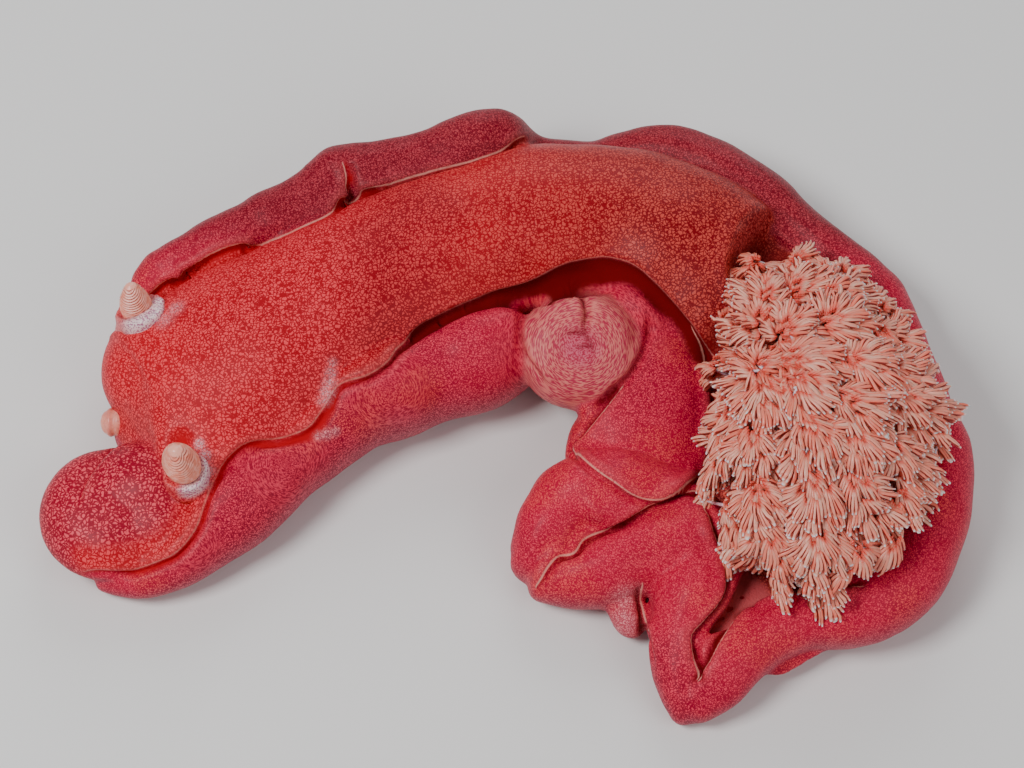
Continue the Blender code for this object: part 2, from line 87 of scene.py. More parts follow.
ROLL_LEFT = [
    (-107, -53, 5, 4, 5, 0.0), (-97, -53, 7, 6, 7, 0.2), (-86, -49, 10, 8, 10, 0.4),
    (-75, -39, 12, 10, 12, 0.5), (-64, -27, 13, 11, 13, 0.4), (-51, -16, 13, 9, 13, 0.4),
    (-40, -7, 16, 11, 16, 0.3), (-25, 0, 16, 11, 15, 0.3), (-11, 5, 17, 12.5, 16, 0.3),
    (-2, 9.5, 17, 11, 15, 0.3),
]
FOLD_UPPER = [
    (45, -36, 12, 9, 12, 0.0), (28, -33, 14, 11, 14, 0.0), (15, -36, 14, 11, 13, 0.0),
    (8, -45, 12, 8, 11, 0.0), (5, -52, 10, 6, 8, 0.0),
]
FOLD_LOWER = [
    (8, -55, 9, 6, 8, 0.0), (20, -56, 11, 8, 11, 0.0), (36, -50, 12, 10, 12, 0.0),
    (52, -46, 12, 12, 12, 0.0),
]
WALL_LEFT = [
    (52, -50, 11, 12, 11, 0.0), (47, -60, 11, 10, 11, 0.0), (43, -71, 10, 8, 10, 0.0),
    (42, -82, 8, 6, 8, 0.0), (44, -91, 6, 4, 6, 0.0),
]
FRONT_FLAP = {"centre": (-105, -37, 11), "radii": (19.5, 19, 10.5), "yaw": 20}
COIL = {"centre": (18, 6.5, 22), "radii": (16.2, 15.8, 15), "tilt": 29}
COIL_BACK = {"centre": (34, 18, 20), "radii": (13, 9, 12), "yaw": -35}
FLAP = {"centre": (35.5, -8, 16.5), "radii": (18, 28, 9), "tilt": 12}
POCKET = {"centre": (23, -20, 10), "radii": (9, 15, 9.5)}
TAB = {"centre": (30, -63, 6), "radii": (5, 8, 5.5), "yaw": 15}
# Soft masses that join the forms: the head to its lobe, the folds to each other.
HEAD_BRIDGE = {"centre": (-95.5, -31, 11), "radii": (17, 14, 13.5)}
LOBE_SHOULDER = {"centre": (-93, -38, 10.5), "radii": (15, 15, 11)}
BROW = {"centre": (-96.5, 5, 13), "radii": (14.5, 17, 14)}
FOLD_BRIDGE = {"centre": (21, -47, 10), "radii": (15, 9, 9)}
WALL_BRIDGE = {"centre": (47, -52, 12), "radii": (7, 14, 10)}
INNER_MANTLE = {"centre": (58, -64, 6), "radii": (17, 14, 5.5), "yaw": 30}

# Creases where one sheet of flesh lies over another: (x, y, width of the bare red band), the
# side of the upper sheet (1 is left of the path), its lip, the depth and the overhang. Some have
# the kinds of flesh on their upper and lower side, and some no pale lip.
# The bare band is plain red at the front, and further back it is painted dark, as shade under the
# upper sheet.
CREASES = [
    # Edge of the back over the near roll, round to the vent.
    {"line": [(-110, -55, 0.8), (-102, -55, 1.4), (-91, -53.3, 2), (-86.1, -51.3, 2),
              (-82, -46, 1.6), (-80.1, -38.8, 1.4), (-77.9, -33.8, 1.4), (-73.8, -28, 1.4),
              (-68.7, -24.1, 1.6), (-60, -21.6, 2.6), (-53.5, -18.9, 3.6), (-49.8, -14, 3),
              (-46, -8.4, 1.8), (-38, -6.6, 1.6), (-33, -3, 1.6), (-30.3, 2.3, 2.6),
              (-26, 8.3, 3), (-19.2, 12.7, 3), (-8.6, 17.9, 3.6), (-0.5, 20.7, 5.2),
              (8, 23.6, 7.6), (16, 26.4, 8.4), (24, 27.4, 8.4), (31, 25.6, 6.6), (36.5, 21.8, 5),
              (41.8, 16.6, 4.5), (47, 10.5, 4.5), (53, 3.5, 5), (59, -2, 5)],
     "side": 1, "lip": 0.35, "depth": 2.2, "over": 0.6, "kinds": (DORSUM, ROLL)},
    # Far roll over the back, and the notch in it.
    {"line": [(-101, 23, 1.6), (-98.1, 25.2, 2.2), (-89.8, 28.5, 2.6), (-80.8, 32.7, 2.8),
              (-71.4, 36, 2.6), (-60, 38.5, 2.4), (-50.5, 43, 2.8), (-45.5, 49.6, 3), (-33.3, 52.5, 2),
              (-22.4, 55.3, 1.6), (-11.5, 58.5, 1.4), (-3.3, 62.6, 1.2), (3, 69, 1)],
     "side": 1, "lip": 0.7, "depth": 1.6, "over": 0.6, "kinds": (ROLL, DORSUM)},
    {"line": [(-45.8, 56.5, 0.5), (-45, 53, 1.6), (-45.5, 50, 1)],
     "side": -1, "lip": 0.5, "depth": 1.4, "over": 0.3},
    # Rim of the flap.
    {"line": [(47.4, 8.6, 1), (50.9, 1.9, 1), (52.2, -8.2, 0.5), (51.8, -18.4, 0.5),
              (49.7, -26, 0.5), (46.3, -33.1, 0.5), (40.9, -37.8, 0.4), (35.7, -39.3, 0.3),
              (31, -38.7, 0.3), (26.5, -36.4, 0.3), (22, -32.7, 0.3), (18.6, -27.5, 0.3),
              (16.5, -20.3, 0.3)],
     "side": -1, "lip": 0.9, "depth": 1.5, "over": 0.7},
    # Upper fold over the lower fold.
    {"line": [(52, -34.5, 1.8), (44.6, -36.5, 1.6), (38.3, -39.6, 1.2), (32.3, -42.1, 1),
              (26.6, -44.6, 0.8), (22, -46.4, 0.8), (18, -48.6, 1), (15.6, -52, 1.2),
              (11.8, -52.6, 0.9), (9, -55.4, 0.4), (6.4, -59.4, 0.3)],
     "side": -1, "lip": 0.9, "depth": 1.7, "over": 0.7},
    # The wall, and the mantle's inner side behind it.
    {"line": [(49.7, -42, 0.5), (51.3, -48.4, 1.5), (53.4, -54, 2), (54.2, -61.4, 2),
              (52.4, -66.4, 2), (48.6, -70.8, 1.6), (45.1, -75, 1.2), (45.4, -80, 1.4),
              (47, -85.4, 1.8)],
     "side": -1, "lip": 0.8, "depth": 1.8, "over": 0.8},
    {"line": [(47.2, -86, 1.8), (50.5, -81.9, 2), (53.4, -76.7, 2.4), (57.4, -70.6, 2.6),
              (63.5, -66, 2), (70, -64.6, 1.6), (78, -65.5, 1.5), (88, -65, 1.5)],
     "side": -1, "lip": 0.6, "depth": 1.5, "over": 0.7},
    # Beside the tab, and across the front lobe.
    {"line": [(33.4, -60, 0.3), (34.4, -65, 1.4), (35.4, -72, 1.4), (36, -78, 0.5)],
     "side": 1, "lip": 0.5, "depth": 1.5, "over": 0.5},
    {"line": [(-103, -19, 0.3), (-107, -25, 0.3), (-110, -31, 0.2), (-111.5, -37, 0.1)],
     "side": 1, "lip": 0.5, "depth": 0.9, "over": 0.2},
    # The coil: its slit, two nicks, the roll before it, and the lines round it.
    {"line": [(17.9, 15, 1.2), (18.6, 11.1, 0.9), (18.9, 9.4, 0.8), (18.3, 6.6, 0.6),
              (19.6, 3.8, 0.4), (21.1, 1.0, 0.3)],
     "side": -1, "lip": 0.5, "depth": 2.0, "over": 0.3, "pale": False},
    {"line": [(15.2, 5.0, 0.2), (16.8, 5.5, 0.7), (18.4, 4.8, 0.7), (19.4, 3.9, 0.2)],
     "side": 1, "lip": 0.15, "depth": 1.4, "over": 0.1, "pale": False},
    {"line": [(17.8, 1.9, 0.2), (19.2, 2.2, 0.6), (20.4, 1.6, 0.2)],
     "side": 1, "lip": 0.15, "depth": 1.2, "over": 0.1, "pale": False},
    {"line": [(6, 17.5, 0.5), (9.5, 13.8, 1.6), (13, 13.6, 1.2), (16.8, 14.6, 0.6)],
     "side": -1, "lip": 0.4, "depth": 1.5, "over": 0.4},
    {"line": [(3.4, 12, 0.3), (3.0, 6, 0.4), (4.6, 0.5, 0.4), (8.5, -4.6, 0.3)],
     "side": 1, "lip": 0.5, "depth": 1.0, "over": 0.3, "pale": False},
    {"line": [(35.6, 12, 0.2), (34.4, 5, 0.4), (31.6, -1.4, 0.5), (27.6, -6, 0.8), (22.6, -9.4, 1.2)],
     "side": -1, "lip": 0.5, "depth": 1.4, "over": 0.4, "pale": False},
    {"line": [(28.6, -6.6, 0.6), (24.5, -12.2, 1.0), (19.5, -17, 1.2), (15, -21, 1)],
     "side": 1, "lip": 0.5, "depth": 1.2, "over": 0.3},
]
KIND_REACH = (11.0, 7.0)  # how far below and above a crease its kinds of flesh hold, mm
# Bare red hollows, plain red at the front and painted dark as shade further back: x, y, radius and
# depth; frosted places: x, y, radius and strength.
HOLLOWS = [(-86.3, -24.6, 2.8, 1.8), (18, 20, 4.5, 1.5), (52, 4.6, 3.4, 0.2), (56.5, 7, 4.2, 0.2)]
FROSTS = [
    (-81.2, -25.6, 1.5, 0.9), (-79.9, -28.4, 1.8, 0.9), (-79.6, -31.4, 1.8, 0.9),
    (-80.6, -34.2, 1.6, 0.9), (-83.5, -36.8, 1.5, 0.8), (-87, -37.2, 1.3, 0.6),
    (-49.6, -12, 1.7, 0.5), (-48.8, -9.8, 1.8, 0.6), (-48.2, -7.6, 1.8, 0.6),
    (-47.7, -5.4, 1.7, 0.55), (-47.2, -3.2, 1.5, 0.4), (-48.5, -20.4, 1.5, 0.45),
    (-50.6, -21, 1.4, 0.4), (-46.4, -19.4, 1.4, 0.4),
    (28.6, -68, 5, 0.42), (29.6, -62, 4.5, 0.42), (-92.5, 10.5, 3.0, 0.45),
    (-89.5, 13.5, 2.6, 0.45),
]
# Whorls of the near roll, where the fleck lines run in circles: x, y, z and radius.
WHORLS = [(-59, -28.5, 23, 14), (-33, -9, 28, 13), (-82, -50, 17, 8), (18, 6, 28, 27)]

SKIN_NODES = [
    "head", "body_front", "body_middle", "body_rear", "tail", "foot_front", "foot_rear",
    "mantle_front", "mantle_right_front", "mantle_right_middle", "mantle_right_rear",
    "mantle_tail_right", "mantle_tail_left", "mantle_left_front", "mantle_left_middle",
    "mantle_left_coil", "mantle_left_coil_back", "mantle_left_flap",
    "mantle_left_fold_upper", "mantle_left_fold_lower", "mantle_left_rear",
    "mantle_left_pocket", "mantle_left_tab",
]
LOW_FLESH = 9.0  # height under which the trunk is marked as the rolls are, mm
SKIN_GRAIN = 0.86  # voxel size of the skin, mm
UNDERSIDE_SHARE = 0.62  # share of its faces that the skin keeps; those left out are underneath
LINE_STRETCH = 3.0  # length of a fleck over its width, where flecks run in lines

TRUNK_LOW = 2.0  # height of the trunk's flat underside, over the foot, mm
FOOT_HIGH = 6.0  # height of the foot, mm
COIL_RISE = 11.0  # how far the coil's flat top stands over its middle, mm
COIL_LINES = Vector((0, -6, 12))  # from the coil's middle to where its fleck lines circle
VENT_RIM = 62.7  # x where the back ends in a rim and drops to the gills
VENT_CORNER = 5.9  # y of the near corner of that rim
VENT_FLOOR = 21.0  # height of the hollow behind it
VENT_SIDE = (-16, -12)  # y over which the hollow begins, on its near side

# A crease's lip and groove, in mm from its edge, and how far out it is looked for.
CREASE_REACH = 11
CREASE_STEPS = 12  # points on a crease's path between two of its stations
LIP_PLACE, LIP_WIDTH = 1.3, 1.4
PULL_PLACE, PULL_WIDTH = 0.5, 1.2
END_FADE = 2.0  # how far past its ends a crease still shows, mm

# Small wrinkles in the flesh: how many to a metre, and their height in mm.
WRINKLES = [(75, 0.30), (210, 0.12)]


def ease(low, high, value):
    """A smooth step from 0 at low to 1 at high, for a number or an array."""
    t = np.clip((value - low) / (high - low), 0.0, 1.0)
    return t * t * (3 - 2 * t)


def bump(angle, centre, width):
    """A hump round a ring, 1 at its centre; angles in degrees."""
    off = (angle - centre + 180) % 360 - 180
    return math.exp(-((off / width) ** 2))


def point_at(stations, t):
    """The point of a Catmull-Rom curve at t, counted in stations."""
    last = len(stations) - 1
    k = max(0, min(int(t), last - 1))
    u = t - k
    p0, p1, p2, p3 = (stations[min(max(k + j, 0), last)] for j in (-1, 0, 1, 2))
    return [
        0.5 * (2 * b + (c - a) * u + (2 * a - 5 * b + 4 * c - d) * u * u
               + (3 * b - a - 3 * c + d) * u ** 3)
        for a, b, c, d in zip(p0, p1, p2, p3)
    ]


def heading(stations, t, reach=0.35):
    """The way of a path in plan at t."""
    before = point_at(stations, max(t - reach, 0))
    after = point_at(stations, min(t + reach, len(stations) - 1))
    return Vector((after[0] - before[0], after[1] - before[1], 0)).normalized()


def sway(place, seed, pace=1.0):
    """A smooth random number between about -1 and 1 along a path."""
    return noise.noise(Vector((place * pace, seed * 7.3, 0.5))) * 1.8


def in_frame(point):
    """A point of the animal's own plan, in metres in the shared frame."""
    return (point - MIDDLE) * MM


# Meshes and their values.


def quads(rows, count, base=0):
    """The faces between rings of points, each with its row and its place round the row."""
    for i in range(rows - 1):
        for k in range(count):
            n = (k + 1) % count
            yield i, k, (base + i * count + k, base + i * count + n,
                         base + (i + 1) * count + n, base + (i + 1) * count + k)


def fan(count, base, middle):
    """The faces that close a ring of points to one in its middle."""
    return [(base + k, base + (k + 1) % count, middle) for k in range(count)]


def mesh_of(name, points, faces):
    """A mesh of points in the animal's plan, with its faces turned outwards."""
    mesh = bpy.data.meshes.new(name)
    mesh.from_pydata([in_frame(p) for p in points], [], faces)
    bm = bmesh.new()
    bm.from_mesh(mesh)
    bmesh.ops.recalc_face_normals(bm, faces=bm.faces)
    bm.to_mesh(mesh)
    bm.free()
    return mesh


def linked(name, data):
    """An object for a mesh, a lamp or a camera, in the scene."""
    made = bpy.data.objects.new(name, data)
    bpy.context.scene.collection.objects.link(made)
    return made


def shown(name, mesh, material):
    """A smooth piece with one finish."""
    mesh.shade_smooth()
    mesh.materials.clear()
    mesh.materials.append(material)
    return linked(name, mesh)


def ringed_piece(name, rings, material):
    """A smooth closed piece through rings, with its (along, around) place as an attribute."""
    last, count = len(rings) - 1, len(rings[0])
    points = [point for ring in rings for point in ring]
    lies = [(i / last, k / count, 0) for i in range(last + 1) for k in range(count)]
    faces = [face for _, _, face in quads(last + 1, count)]
    for row, along in ((0, 0.0), (last, 1.0)):
        faces += fan(count, row * count, len(points))
        points.append(sum(rings[row], Vector()) / count)
        lies.append((along, 0.5, 0))
    piece = shown(name, mesh_of(name, points, faces), material)
    put_attribute(piece.data, "lie", np.array(lies))
    return piece


def plain_copy(holder):
    """The mesh that an object's modifiers make; the object itself is taken away."""
    graph = bpy.context.evaluated_depsgraph_get()
    made = bpy.data.meshes.new_from_object(holder.evaluated_get(graph))
    bpy.data.objects.remove(holder, do_unlink=True)
    return made


def values_of(items, field, width=1, kind=float):
    """One value, or a row of them, for each point, edge or corner of a mesh."""
    out = np.empty(len(items) * width, kind)
    items.foreach_get(field, out)
    return out.reshape(-1, width) if width > 1 else out


def normals_of(mesh):
    return values_of(mesh.vertices, "normal", 3)


def put_positions(mesh, co):
    """Moves the points of a mesh, none of them below the floor."""
    above = co.copy()
    above[:, 2] = np.maximum(above[:, 2], 0.0)
    mesh.vertices.foreach_set("co", above.astype(np.float32).ravel())
    mesh.update()


def put_attribute(mesh, name, values):
    """Stores one value or one vector for each point of a mesh."""
    kind, field = ("FLOAT", "value") if values.ndim == 1 else ("FLOAT_VECTOR", "vector")
    made = mesh.attributes.new(name, kind, "POINT")
    made.data.foreach_set(field, values.astype(np.float32).ravel())


def averaged(values, pairs, rounds, share=0.5):
    """Smooths values, or points, over the edges of a mesh."""
    values = values.astype(float).copy()
    degree = np.bincount(pairs.ravel(), minlength=len(values)).astype(float)
    degree = degree.reshape(-1, *([1] * (values.ndim - 1)))
    for _ in range(rounds):
        total = np.zeros_like(values)
        np.add.at(total, pairs[:, 0], values[pairs[:, 1]])
        np.add.at(total, pairs[:, 1], values[pairs[:, 0]])
        values += (total / degree - values) * share
    return values


# The forms of the flesh, gathered as closed meshes.


class Flesh:
    """Every form of the body, each face with its kind and its lie along and round the form."""

    def __init__(self):
        self.points = []
        self.faces = []
        self.lies = []  # one (along, around) pair for each corner of each face
        self.kinds = []

    def add_face(self, face, lie, kind):
        self.faces.append(face)
        self.lies.append(lie)
        self.kinds.append(kind)

    def add_grid(self, rings, alongs, arounds, kind):
        """A closed form through rings; alongs and arounds are lengths in mm."""
        base, count = len(self.points), len(rings[0])
        for ring in rings:
            self.points += [Vector(p) for p in ring]
        for i, k, face in quads(len(rings), count, base):
            here, there = alongs[i], alongs[i + 1]
            start, end = arounds[k], arounds[k + 1]
            self.add_face(face, ((here, start), (here, end), (there, end), (there, start)), kind)
        for i in (0, len(rings) - 1):
            self.points.append(sum(rings[i], Vector()) / count)
            for k, face in enumerate(fan(count, base + i * count, len(self.points) - 1)):
                here = alongs[i]
                lie = ((here, arounds[k]), (here, arounds[k + 1]), (here, arounds[k]))
                self.add_face(face, lie, kind)


def domed(rings, alongs, shares=(0.97, 0.85, 0.62, 0.3)):
    """Adds shrinking rings at both ends, so that a form closes in a dome."""
    def cap(ring, beyond):
        middle = sum(ring, Vector()) / len(ring)
        ahead = sum(beyond, Vector()) / len(beyond)
        size = max((p - middle).length for p in ring)
        out = []
        for share in shares:
            rise = math.sqrt(1 - share ** 2)
            step = (middle - ahead).normalized() * size * 0.5 * rise
            out.append(([middle + (p - middle) * share + step for p in ring], size * 0.5 * rise))
        return out

    start, end = cap(rings[0], rings[1]), cap(rings[-1], rings[-2])
    rings = [ring for ring, _ in reversed(start)] + rings + [ring for ring, _ in end]
    alongs = ([alongs[0] - off for _, off in reversed(start)] + alongs
              + [alongs[-1] + off for _, off in end])
    for ring in rings:
        for point in ring:
            point.z = max(0.0, point.z)
    return rings, alongs


def swept(stations, per_station, ring_of, points, girth, kind, flesh):
    """Sweeps a cross-section along a path of stations."""
    last = len(stations) - 1
    count = last * per_station + 1
    rings, alongs, length = [], [], 0.0
    before = None
    for i in range(count):
        t = last * i / (count - 1)
        here = point_at(stations, t)
        if before:
            length += math.dist(here[:2], before[:2])
        before = here
        rings.append(ring_of(t, here, heading(stations, t), points))
        alongs.append(length)
    rings, alongs = domed(rings, alongs)
    flesh.add_grid(rings, alongs, [girth * k / points for k in range(points + 1)], kind)


def trunk_ring(t, station, along, points):
    """The trunk: a domed back with a soft rim over a narrower, flat underside."""
    x, y, half, crest = station
    half *= 1 + 0.03 * sway(t, 3, 1.1)
    crest += 0.7 * sway(t, 5, 1.3)
    side = Vector((-along.y, along.x, 0))
    widest = max(SIDE_SHARE * crest, TRUNK_LOW + 4.5)
    ring = []
    for i in range(points):
        angle = 2 * math.pi * (i / points + 0.75)
        across, up = math.cos(angle), math.sin(angle)
        flutter = 1 + 0.025 * sway(t, 11 if across > 0 else 17, 3.0) * abs(across)
        if up >= 0:
            reach = half * across * flutter
            height = widest + (crest - widest) * up ** 0.85
        else:
            reach = half * across * (1 - (1 - FOOT_SHARE) * (-up) ** 1.2) * flutter
            height = widest - (widest - TRUNK_LOW) * min(1.0, (-up) ** 0.8 * 1.15)
        ring.append(Vector((x, y, height)) + side * reach)
    return ring


def foot_ring(t, station, along, points):
    """The foot: a flat sole with rounded sides."""
    x, y, half, _ = station
    half *= FOOT_SHARE * (1 + 0.02 * sway(t, 23, 4.0))
    side = Vector((-along.y, along.x, 0))
    ring = []
    for i in range(points):
        angle = 2 * math.pi * (i + 0.5) / points
        across, up = math.cos(angle), math.sin(angle)
        reach = half * math.copysign(abs(across) ** 0.5, across)
        height = FOOT_HIGH * (0.5 + 0.5 * math.copysign(min(1.0, abs(up) * 1.5), up))
        ring.append(Vector((x, y, height)) + side * reach)
    return ring


def roll_ring(seed, hand, swell=0.07, lip=0.20):
    """Cross-section of a rolled edge: a fat comma whose free edge leans inwards."""
    def ring_of(t, station, along, points):
        x, y, z, across, up, root = station
        out = Vector((-along.y, along.x, 0)) * hand
        fat = 1 + swell * sway(t, seed, 0.9) + 0.03 * sway(t, seed + 1, 2.7)
        lean = 7 * sway(t, seed + 2, 0.8)
        crisp = lip * (1 + 0.5 * sway(t, seed + 3, 1.6))
        ring = []
        for i in range(points):
            angle = 360 * (i / points + 0.72)
            # In turn: the crisp lip, the hollow under it, the root, a dent and a slow swell.
            size = fat * (1 + crisp * bump(angle, 146 + lean, 15)
                          - 0.26 * bump(angle, 182 + lean, 15) + root * bump(angle, 222, 30)
                          - 0.05 * bump(angle, 62 + 2 * lean, 26)
                          + 0.03 * sway(t, seed + 5, 2.2) * bump(angle, 20, 40))
            turn = math.radians(angle)
            point = Vector((x, y, z)) + out * across * size * math.cos(turn)
            point.z = max(0.0, point.z + up * size * math.sin(turn))
            ring.append(point)
        return ring

    return ring_of


def rounded(flesh, kind, centre, radii, yaw=0.0, tilt=0.0, rows=28, columns=56, shape=None):
    """A rounded mass of flesh; shape may lift or pull its surface."""
    turn = Matrix.Rotation(math.radians(yaw), 3, "Z") @ Matrix.Rotation(math.radians(tilt), 3, "X")
    rings, alongs = [], []
    for i in range(1, rows):
        polar = math.pi * i / rows
        ring = []
        for k in range(columns):
            angle = 2 * math.pi * k / columns
            local = Vector((math.sin(polar) * math.cos(angle), math.sin(polar) * math.sin(angle),
                            math.cos(polar)))
            point = Vector((local.x * radii[0], local.y * radii[1], local.z * radii[2]))
            if shape:
                point = shape(point, local)
            point = turn @ point + Vector(centre)
            point.z = max(0.0, point.z)
            ring.append(point)
        rings.append(ring)
        alongs.append(polar * (radii[0] + radii[1] + radii[2]) / 3)
    girth = math.pi * (radii[0] + radii[1])
    base = len(flesh.lies)
    flesh.add_grid(rings, alongs, [girth * k / columns for k in range(columns + 1)], kind)
    # A ring runs round the form, so its lines follow the rim.
    flesh.lies[base:] = [tuple((b, a) for a, b in lie) for lie in flesh.lies[base:]]


def coil_shape(point, local):
    """The rolled-up end of the edge: a flat-topped roll with faint turns."""
    reach = math.hypot(local.x, local.y)
    if local.z < 0:
        return point
    flat = COIL_RISE * (1 - 0.18 * reach ** 2 - 0.82 * reach ** 9) - point.z
    turns = reach * 2.6 - math.atan2(local.y, local.x) / (2 * math.pi)
    step = turns - math.floor(turns)
    ridge = 0.45 * step ** 3 * ease(0.2, 0.45, reach) * ease(1.0, 0.85, reach)
    return point * (1 + 0.05 * (1 - local.z)) + Vector((0, 0, flat + ridge))


def sheet_shape(point, local):
    """A thick sheet: flat on top, with a raised crisp rim."""
    reach = math.hypot(local.x, local.y)
    rim = 1.0 * math.exp(-((reach - 0.93) / 0.06) ** 2) * ease(-0.2, 0.3, local.z)
    swell = 0.5 * noise.noise(point * 0.09)
    return point + Vector((0, 0, rim + swell))


def lobe_shape(point, local):
    """The front lobe, with a slow swell."""
    swell = 0.9 * noise.noise(point * 0.07 + Vector((3, 0, 0)))
    return point * (1 + 0.02 * swell) + Vector((0, 0, swell))


def gather_flesh():
    """Every form of the body, from the trunk out to the folds of the near side."""
    flesh = Flesh()
    # Stations, rings to a station, section, points round it, girth for the lie, kind.
    swept(TRUNK, 9, trunk_ring, 96, 120.0, DORSUM, flesh)
    drop_to_vent(flesh)
    swept(TRUNK[1:], 6, foot_ring, 40, 60.0, FOOT, flesh)
    rounded(flesh, LOBE, **FRONT_FLAP, shape=lobe_shape)
    for kind, form in ((LOBE, HEAD_BRIDGE), (LOBE, LOBE_SHOULDER), (DORSUM, BROW),
                       (ROLL, FOLD_BRIDGE), (ROLL, WALL_BRIDGE), (INNER, INNER_MANTLE)):
        rounded(flesh, kind, **form)
    swept(ROLL_RIGHT, 9, roll_ring(31, 1), 48, 56.0, ROLL, flesh)
    swept(ROLL_LEFT, 11, roll_ring(47, -1, 0.08, 0.16), 56, 76.0, ROLL, flesh)
    swept(FOLD_UPPER, 10, roll_ring(61, -1, 0.04, 0.14), 48, 70.0, ROLL, flesh)
    swept(FOLD_LOWER, 10, roll_ring(71, -1, 0.04, 0.14), 48, 60.0, ROLL, flesh)
    swept(WALL_LEFT, 10, roll_ring(83, -1, 0.05, 0.12), 48, 60.0, ROLL, flesh)
    rounded(flesh, COILED, **COIL, rows=60, columns=120, shape=coil_shape)
    rounded(flesh, ROLL, **COIL_BACK)
    rounded(flesh, SHEET, **FLAP, rows=44, columns=90, shape=sheet_shape)
    for form in (POCKET, TAB):
        rounded(flesh, ROLL, **form)
    return flesh


def rim_of_back(y):
    """Where the back ends, for a place across it: a curve that is hollow in its middle."""
    if y > VENT_CORNER:
        return VENT_RIM - 5.7 + 0.022 * (y - 22) ** 2
    return VENT_RIM - 0.8 * (VENT_CORNER - y)


def drop_to_vent(flesh):
    """Ends the back in a crisp rim, behind which the gills stand in a hollow."""
    for point in flesh.points:
        edge = rim_of_back(point.y) + 0.9 * noise.noise(Vector((point.y * 0.11, 2, 4)))
        fall = ease(0.0, 5.5, point.x - edge) * ease(*VENT_SIDE, point.y)
        floor = VENT_FLOOR + 0.8 * noise.noise(point * 0.1)
        if point.z > floor:
            point.z += (floor - point.z) * fall
            point.z += (0.8 * math.exp(-((point.x - edge + 0.6) / 1.4) ** 2)
                        * ease(26, 32, point.z) * ease(*VENT_SIDE, point.y))


# The skin over the forms.


def one_skin(flesh):
    """One closed surface over all the forms."""
    rough = linked("forms", mesh_of("forms", flesh.points, flesh.faces))
    remesh = rough.modifiers.new("one_skin", "REMESH")
    remesh.mode = "VOXEL"
    remesh.voxel_size = SKIN_GRAIN * MM
    remesh.adaptivity = 0.0
    return plain_copy(rough)


def thin_underside(mesh):
    """Takes faces away underneath, where nothing fine is seen."""
    holder = linked("thinned", mesh)
    below = holder.vertex_groups.new(name="below")
    below.add([int(i) for i in np.nonzero(normals_of(mesh)[:, 2] < -0.15)[0]], 1.0, "REPLACE")
    fewer = holder.modifiers.new("fewer", "DECIMATE")
    fewer.ratio = UNDERSIDE_SHARE
    fewer.vertex_group = "below"
    return plain_copy(holder)


def lie_of_skin(co, flesh):
    """For each point of the skin, the kind of flesh and its place along and round it."""
    points = [in_frame(p) for p in flesh.points]
    tree = BVHTree.FromPolygons(points, flesh.faces)
    lies = np.zeros((len(co), 3))
    kinds = np.zeros(len(co), dtype=int)
    for i, here in enumerate(co):
        spot, _, face, _ = tree.find_nearest(here)
        kinds[i] = flesh.kinds[face]
        weights = [1.0 / (1e-7 + (points[c] - spot).length_squared) for c in flesh.faces[face]]
        total = sum(weights)
        for weight, (along, around) in zip(weights, flesh.lies[face]):
            lies[i, 0] += along * weight / total / LINE_STRETCH
            lies[i, 1] += around * weight / total
    return lies * MM, kinds


def ring_lie(off, middle_reach):
    """Places for lines that run in circles: the way from the centre, and the distance."""
    reach = np.linalg.norm(off, axis=1)
    way = off / np.maximum(reach, 1e-9)[:, None]
    lie = way * middle_reach * MM / LINE_STRETCH
    lie[:, 2] = reach + 0.1
    return lie


def vent_shade_of(co):
    """How far each point lies in the bare hollow behind the rim of the back, from 0 to 1; the finish
    paints it dark there as shade.
    """
    plan = co / MM + np.array(MIDDLE)
    rim = np.array([rim_of_back(y) for y in plan[:, 1]])
    behind = ease(1.5, 4.0, plan[:, 0] - rim) * ease(*VENT_SIDE, plan[:, 1])
    return behind * ease(VENT_FLOOR + 12, VENT_FLOOR + 5, plan[:, 2]) * ease(44, 34, plan[:, 1])


